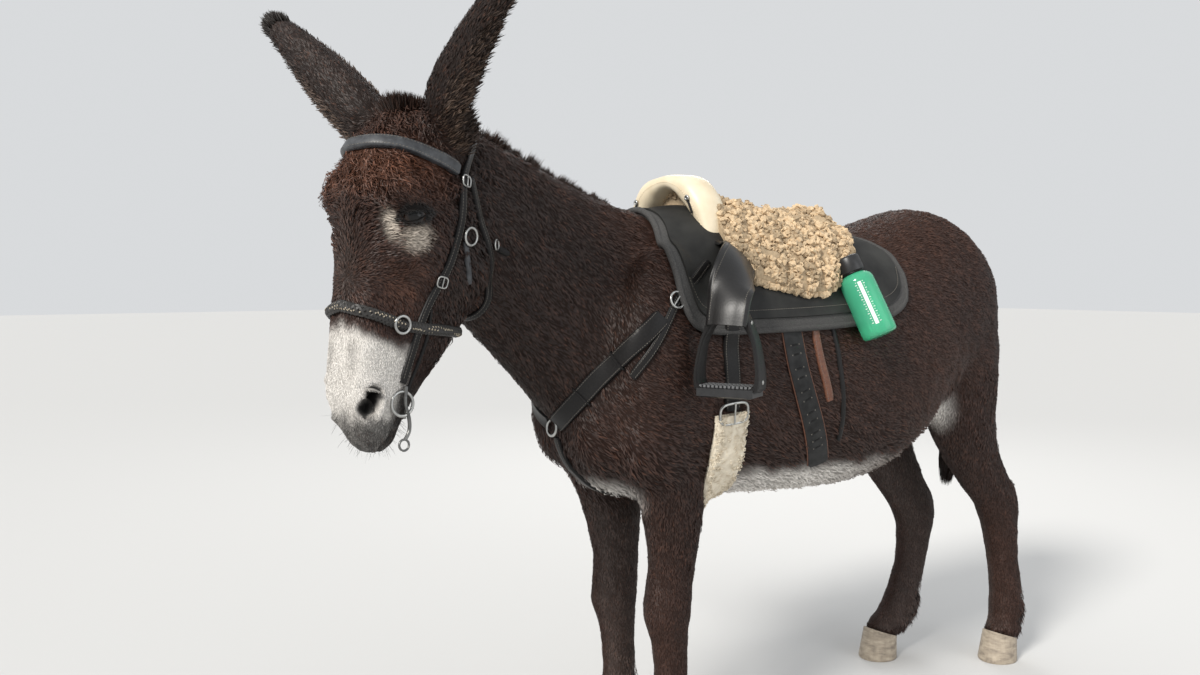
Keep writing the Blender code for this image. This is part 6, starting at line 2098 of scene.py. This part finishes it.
CHEST_RING = (0.0, -0.226, 0.912)
BREAST = (
    (0.018, -0.218, 0.925), (0.075, -0.21, 0.972), (0.133, -0.179, 1.043), (0.195, -0.13, 1.115),
    (0.226, -0.07, 1.185),
)
TUG = (
    (0.2, -0.134, 1.045), (0.224, -0.075, 1.14), (0.232, -0.02, 1.232), (0.216, 0.05, 1.283),
    (0.2, 0.095, 1.312),
)
TUG_BUCKLE = (0.23, -0.03, 1.222)
BELLY = (
    (0.0, -0.222, 0.885), (0.0, -0.19, 0.8), (0.0, -0.1, 0.735), (0.0, 0.02, 0.715),
    (0.0, 0.13, 0.7),
)


# A keeper's loop over the collar, across it and out of it
KEEPER = (
    (-0.026, 0.001), (-0.026, 0.0085), (-0.012, 0.01), (0.012, 0.01), (0.026, 0.0085),
    (0.026, 0.001),
)


def breast_collar():
    """Collar, its ring, tugs with buckles and the strap under the belly."""
    piled("collar_ring", "nickel", ("chest_ring",), Pile.ring, at(*CHEST_RING), (0, -1, 0.1), 0.02, 0.0036)
    for side, name in SIDES:
        course = strap("collar_" + name, mirrored(BREAST, side), 0.046, 0.007, GROUND["pad"], "leather",
                       ("breast_strap_" + name,))
        face = course.section([(offset, 0.0075) for offset in (-0.023, 0.0, 0.023)])
        raised = joined_tree(face, GROUND["pad_top"])
        strap("collar_tug_" + name, mirrored(TUG, side), 0.022, 0.005, raised, "leather", ("tug_" + name,))
        place, normal = raised.find_nearest(mirrored((TUG_BUCKLE,), side)[0])[:2]
        along = Vector(TUG[3]) - Vector(TUG[1])
        along.x *= side
        along.normalize()
        fitting = Pile()
        fitting.ring(place + normal * 0.0085, normal, 0.019, 0.0032)
        tongue = (place + normal * 0.009 - along * 0.019, place + normal * 0.0098 + along * 0.02)
        fitting.tube(tongue, 0.0022)
        fitting.make("collar_buckle_" + name, "nickel", ("tug_buckle_" + name,))
        keeper = Pile()
        outline = course.section(KEEPER)
        for share in (0.3, 0.62):
            keeper.tube(spread(outline[int(share * (len(course.middle) - 1))], 0.005), 0.0024, 6)
        keeper.make("collar_keepers_" + name, "leather")
    strap("girth_strap", mirrored(BELLY, 1), 0.022, 0.005, GROUND["skin"], "leather", ("belly_strap",))


BROWBAND = (
    (-0.124, 0.1, -0.135), (-0.112, 0.085, -0.05), (-0.06, 0.078, 0.02), (0.000, 0.084, 0.036),
    (0.06, 0.078, 0.02), (0.112, 0.085, -0.05), (0.124, 0.1, -0.135),
)
NOSEBAND = (
    (0.000, 0.405, 0.01), (0.06, 0.418, -0.02), (0.078, 0.428, -0.09), (0.07, 0.42, -0.18),
    (0.04, 0.41, -0.25), (0.000, 0.408, -0.285), (-0.04, 0.41, -0.25),
    (-0.07, 0.42, -0.18), (-0.078, 0.428, -0.09), (-0.06, 0.418, -0.02),
    (0.000, 0.405, 0.01),
)
CHEEK = (
    (0.04, -0.01, -0.215), (0.085, 0.035, -0.19), (0.118, 0.105, -0.155), (0.12, 0.2, -0.165),
    (0.108, 0.3, -0.16), (0.086, 0.39, -0.13), (0.072, 0.48, -0.115), (0.066, 0.54, -0.105),
)
THROAT = (
    (0.11, 0.1, -0.185), (0.104, 0.18, -0.235), (0.096, 0.26, -0.29), (0.07, 0.32, -0.325),
    (0.02, 0.35, -0.335),
)
HEAD_RINGS = (
    ("nose_ring", (0.078, 0.428, -0.075), 0.017, 0.0032),
    ("cheek_ring", (0.118, 0.224, -0.195), 0.018, 0.003),
    ("bit_ring", (0.068, 0.58, -0.11), 0.024, 0.0034),
)
CURB = (
    (0.064, 0.59, -0.128), (0.05, 0.6, -0.15), (0.0, 0.61, -0.17), (-0.05, 0.6, -0.15),
    (-0.064, 0.59, -0.128),
)


CROWN_STRAP = (
    (0.046, -0.004, -0.212), (0.02, -0.022, -0.222), (-0.02, -0.022, -0.222),
    (-0.046, -0.004, -0.212),
)
HANGING_STRAP = ((0.12, 0.236, -0.19), (0.117, 0.28, -0.205), (0.104, 0.318, -0.222))
TAB = ((0.092, 0.22, -0.29), (0.087, 0.222, -0.318), (0.08, 0.224, -0.34))
BIT_LACE = ((0.084, 0.385, -0.143), (0.079, 0.44, -0.15), (0.075, 0.5, -0.14), (0.07, 0.555, -0.125))
CHEEK_BUCKLES = ((0.114, 0.118, -0.155), (0.104, 0.33, -0.15))
THROAT_RING = (0.092, 0.218, -0.283)
BIT_PLACE = (0.068, 0.58, -0.11)
# The bit's shank: how far down the face and how far behind it runs
SHANK = ((-0.035, 0.002), (0.0, 0.006), (0.028, 0.02), (0.052, 0.024), (0.07, 0.016))
BRAID_STEP = 0.004
BRAID_PITCH = 0.034


def head_route(route, side=1):
    return [head_point(left * side, down, out) for left, down, out in route]


def on_face(place, side):
    """The skin's nearest place, and the way it faces."""
    return GROUND["skin"].find_nearest(head_point(place[0] * side, place[1], place[2]))[:2]


def chain(pile, course, link=0.011, wire=0.0014):
    """Oval links along a course, each turned across the last."""
    points = spread(course, link * 0.78)
    for i, (a, b) in enumerate(zip(points, points[1:])):
        along = (b - a).normalized()
        side = along.orthogonal().normalized()
        if i % 2:
            side = along.cross(side)
        middle = a.lerp(b, 0.5)
        along, side = along * link / 2, side * link * 0.3
        oval = [middle + along * math.cos(t) + side * math.sin(t) for t in circle(14)]
        pile.tube(oval, wire, 5, True)


def noseband():
    """Four plaited ropes round the nose, with pale flecks."""
    course = Course(head_route(NOSEBAND), 0.02, GROUND["skin"], BRAID_STEP, True)
    count = len(course.middle)
    turns = np.arange(count) * 2 * np.pi * round(count * BRAID_STEP / BRAID_PITCH) / count
    ropes, flecks = Pile(), Pile()
    base = course.at(0.0, 0.0055)
    for k in range(4):
        phase = turns + k * np.pi / 2
        line = base + course.across * (0.0084 * np.sin(phase))[:, None]
        line = line + course.out * (0.0028 * np.cos(2 * phase))[:, None]
        ropes.tube(line, 0.0043, 6, True)
        for i in range(k, count, 3):
            if math.cos(2 * phase[i]) > -0.3:
                way = unit(line[(i + 1) % count] - line[i - 1])
                out = course.out[i]
                flecks.block(line[i] + out * 0.0041, (way, np.cross(way, out), out), (0.0034, 0.002, 0.0014))
    ropes.make("nose_braid", "braid", ("noseband",))
    flecks.make("nose_braid_fleck", "cream_braid")


def head_rings(side, name):
    """The three rings of one cheek."""
    for label, place, radius, wire in HEAD_RINGS:
        on, normal = on_face(place, side)
        middle = on + normal * (0.0095 if label != "bit_ring" else 0.0075)
        nodes = ("%s_%s" % (label, name),)
        piled("%s_wire_%s" % (label, name), "nickel", nodes, Pile.ring, middle, normal, radius, wire)


def head_buckles(side, name):
    """The buckles of one cheek and the throat strap's ring."""
    fittings = Pile()
    for place in CHEEK_BUCKLES:
        on, normal = on_face(place, side)
        buckle(fittings, on + normal * 0.008, normal, DOWN_FACE, 0.027, 0.022, 0.0019)
    on, normal = on_face(THROAT_RING, side)
    fittings.ring(on + normal * 0.01, normal, 0.011, 0.0022, 24)
    fittings.make("bridle_buckles_" + name, "nickel")


def bit_shank(side, name):
    """The bit's bent arm, with a ring at its end."""
    on, normal = on_face(BIT_PLACE, side)
    shank = [on + normal * 0.011 + DOWN_FACE * down - FACE_OUT * back for down, back in SHANK]
    cheek = Pile()
    cheek.tube(spread(shank, 0.006), 0.004)
    cheek.ring(shank[-1] + DOWN_FACE * 0.01, normal, 0.011, 0.0024, 24)
    cheek.make("bit_shank_" + name, "steel")


def bridle():
    """Headstall with braided noseband, rings, hanging straps and curb chain."""
    skin = GROUND["skin"]
    strap("brow_leather", head_route(BROWBAND), 0.028, 0.0072, skin, "worn", ("browband",))
    strap("crown_leather", head_route(CROWN_STRAP), 0.026, 0.005, skin, "leather", sewn=False)
    noseband()
    for side, name in SIDES:
        nodes = ("cheek_strap_" + name,)
        strap("cheek_leather_" + name, head_route(CHEEK, side), 0.02, 0.005, skin, "leather", nodes)
        head_rings(side, name)
        for label, route, width, thick, look, fitting in (
            ("hanging_strap_", HANGING_STRAP, 0.013, 0.004, "worn", head_buckles),
            ("tab_", TAB, 0.014, 0.004, "leather", None),
            ("bit_lace_", BIT_LACE, 0.008, 0.0035, "leather", bit_shank),
        ):
            strap(label + name, head_route(route, side), width, thick, skin, look, sewn=False, step=0.008)
            if fitting:
                fitting(side, name)
    both = head_route(THROAT) + head_route(THROAT[-2::-1], -1)
    strap("throat_leather", both, 0.018, 0.0045, skin, "leather", ("throat_strap_left", "throat_strap_right"))
    course = Course(head_route(CURB), 0.01, skin, 0.006)
    piled("curb_chain", "steel", ("curb_strap",), chain, course.at(0.0, 0.004))


class DONKEY_OT_tack_looks(bpy.types.Operator):
    """Prepares the tack's materials"""

    bl_idname = "donkey.tack_looks"
    bl_label = "Tack Materials"

    def execute(self, context):
        LOOKS.update(tack_materials(context.scene.donkey_tack))
        return {"FINISHED"}


class DONKEY_OT_saddle(bpy.types.Operator):
    """Makes pad, skirts, sheepskin seat, fork, fenders and stirrups"""

    bl_idname = "donkey.saddle"
    bl_label = "Saddle"

    def execute(self, context):
        pad_and_skirts()
        sheepskin()
        fork()
        fenders()
        stirrups()
        return {"FINISHED"}


class DONKEY_OT_girth(bpy.types.Operator):
    """Makes the straps of the flanks and the fleece cinch"""

    bl_idname = "donkey.girth"
    bl_label = "Girth"

    def execute(self, context):
        side_straps()
        cinch()
        return {"FINISHED"}


class DONKEY_OT_bottle(bpy.types.Operator):
    """Makes the bottle, its cap and its straps"""

    bl_idname = "donkey.bottle"
    bl_label = "Bottle"

    def execute(self, context):
        bottle()
        return {"FINISHED"}


class DONKEY_OT_collar(bpy.types.Operator):
    """Makes the breast collar"""

    bl_idname = "donkey.collar"
    bl_label = "Breast Collar"

    def execute(self, context):
        breast_collar()
        return {"FINISHED"}


class DONKEY_OT_bridle(bpy.types.Operator):
    """Makes the bridle"""

    bl_idname = "donkey.bridle"
    bl_label = "Bridle"

    def execute(self, context):
        bridle()
        return {"FINISHED"}


STEPS = (
    "stage",
    "skin",
    "tack_looks",
    "saddle",
    "girth",
    "bottle",
    "collar",
    "bridle",
    "coat",
    "long_hair",
    "eyes",
    "hooves",
)


class DONKEY_PT_panel(bpy.types.Panel):
    """Sizes, colours and steps"""

    bl_idname = "DONKEY_PT_panel"
    bl_label = "Mammoth Donkey"
    bl_space_type = "VIEW_3D"
    bl_region_type = "UI"
    bl_category = "Donkey"

    def draw(self, context):
        for group in (context.scene.donkey_coat, context.scene.donkey_tack, context.scene.donkey_stage):
            box = self.layout.box()
            for key in group.__annotations__:
                box.prop(group, key)
        for step in STEPS:
            self.layout.operator("donkey." + step)


GROUPS = {"donkey_coat": DonkeyCoat, "donkey_tack": DonkeyTack, "donkey_stage": DonkeyStage}
OPERATORS = (
    DONKEY_OT_stage,
    DONKEY_OT_skin,
    DONKEY_OT_coat,
    DONKEY_OT_long_hair,
    DONKEY_OT_eyes,
    DONKEY_OT_hooves,
    DONKEY_OT_tack_looks,
    DONKEY_OT_saddle,
    DONKEY_OT_girth,
    DONKEY_OT_bottle,
    DONKEY_OT_collar,
    DONKEY_OT_bridle,
)


def register():
    for kind in (*GROUPS.values(), *OPERATORS, DONKEY_PT_panel):
        bpy.utils.register_class(kind)
    for key, kind in GROUPS.items():
        setattr(bpy.types.Scene, key, bpy.props.PointerProperty(type=kind))


def unregister():
    for key in GROUPS:
        delattr(bpy.types.Scene, key)
    for kind in (DONKEY_PT_panel, *reversed(OPERATORS), *reversed(list(GROUPS.values()))):
        bpy.utils.unregister_class(kind)


def main():
    register()
    for step in STEPS:
        getattr(bpy.ops.donkey, step)()


if __name__ == "__main__":
    main()
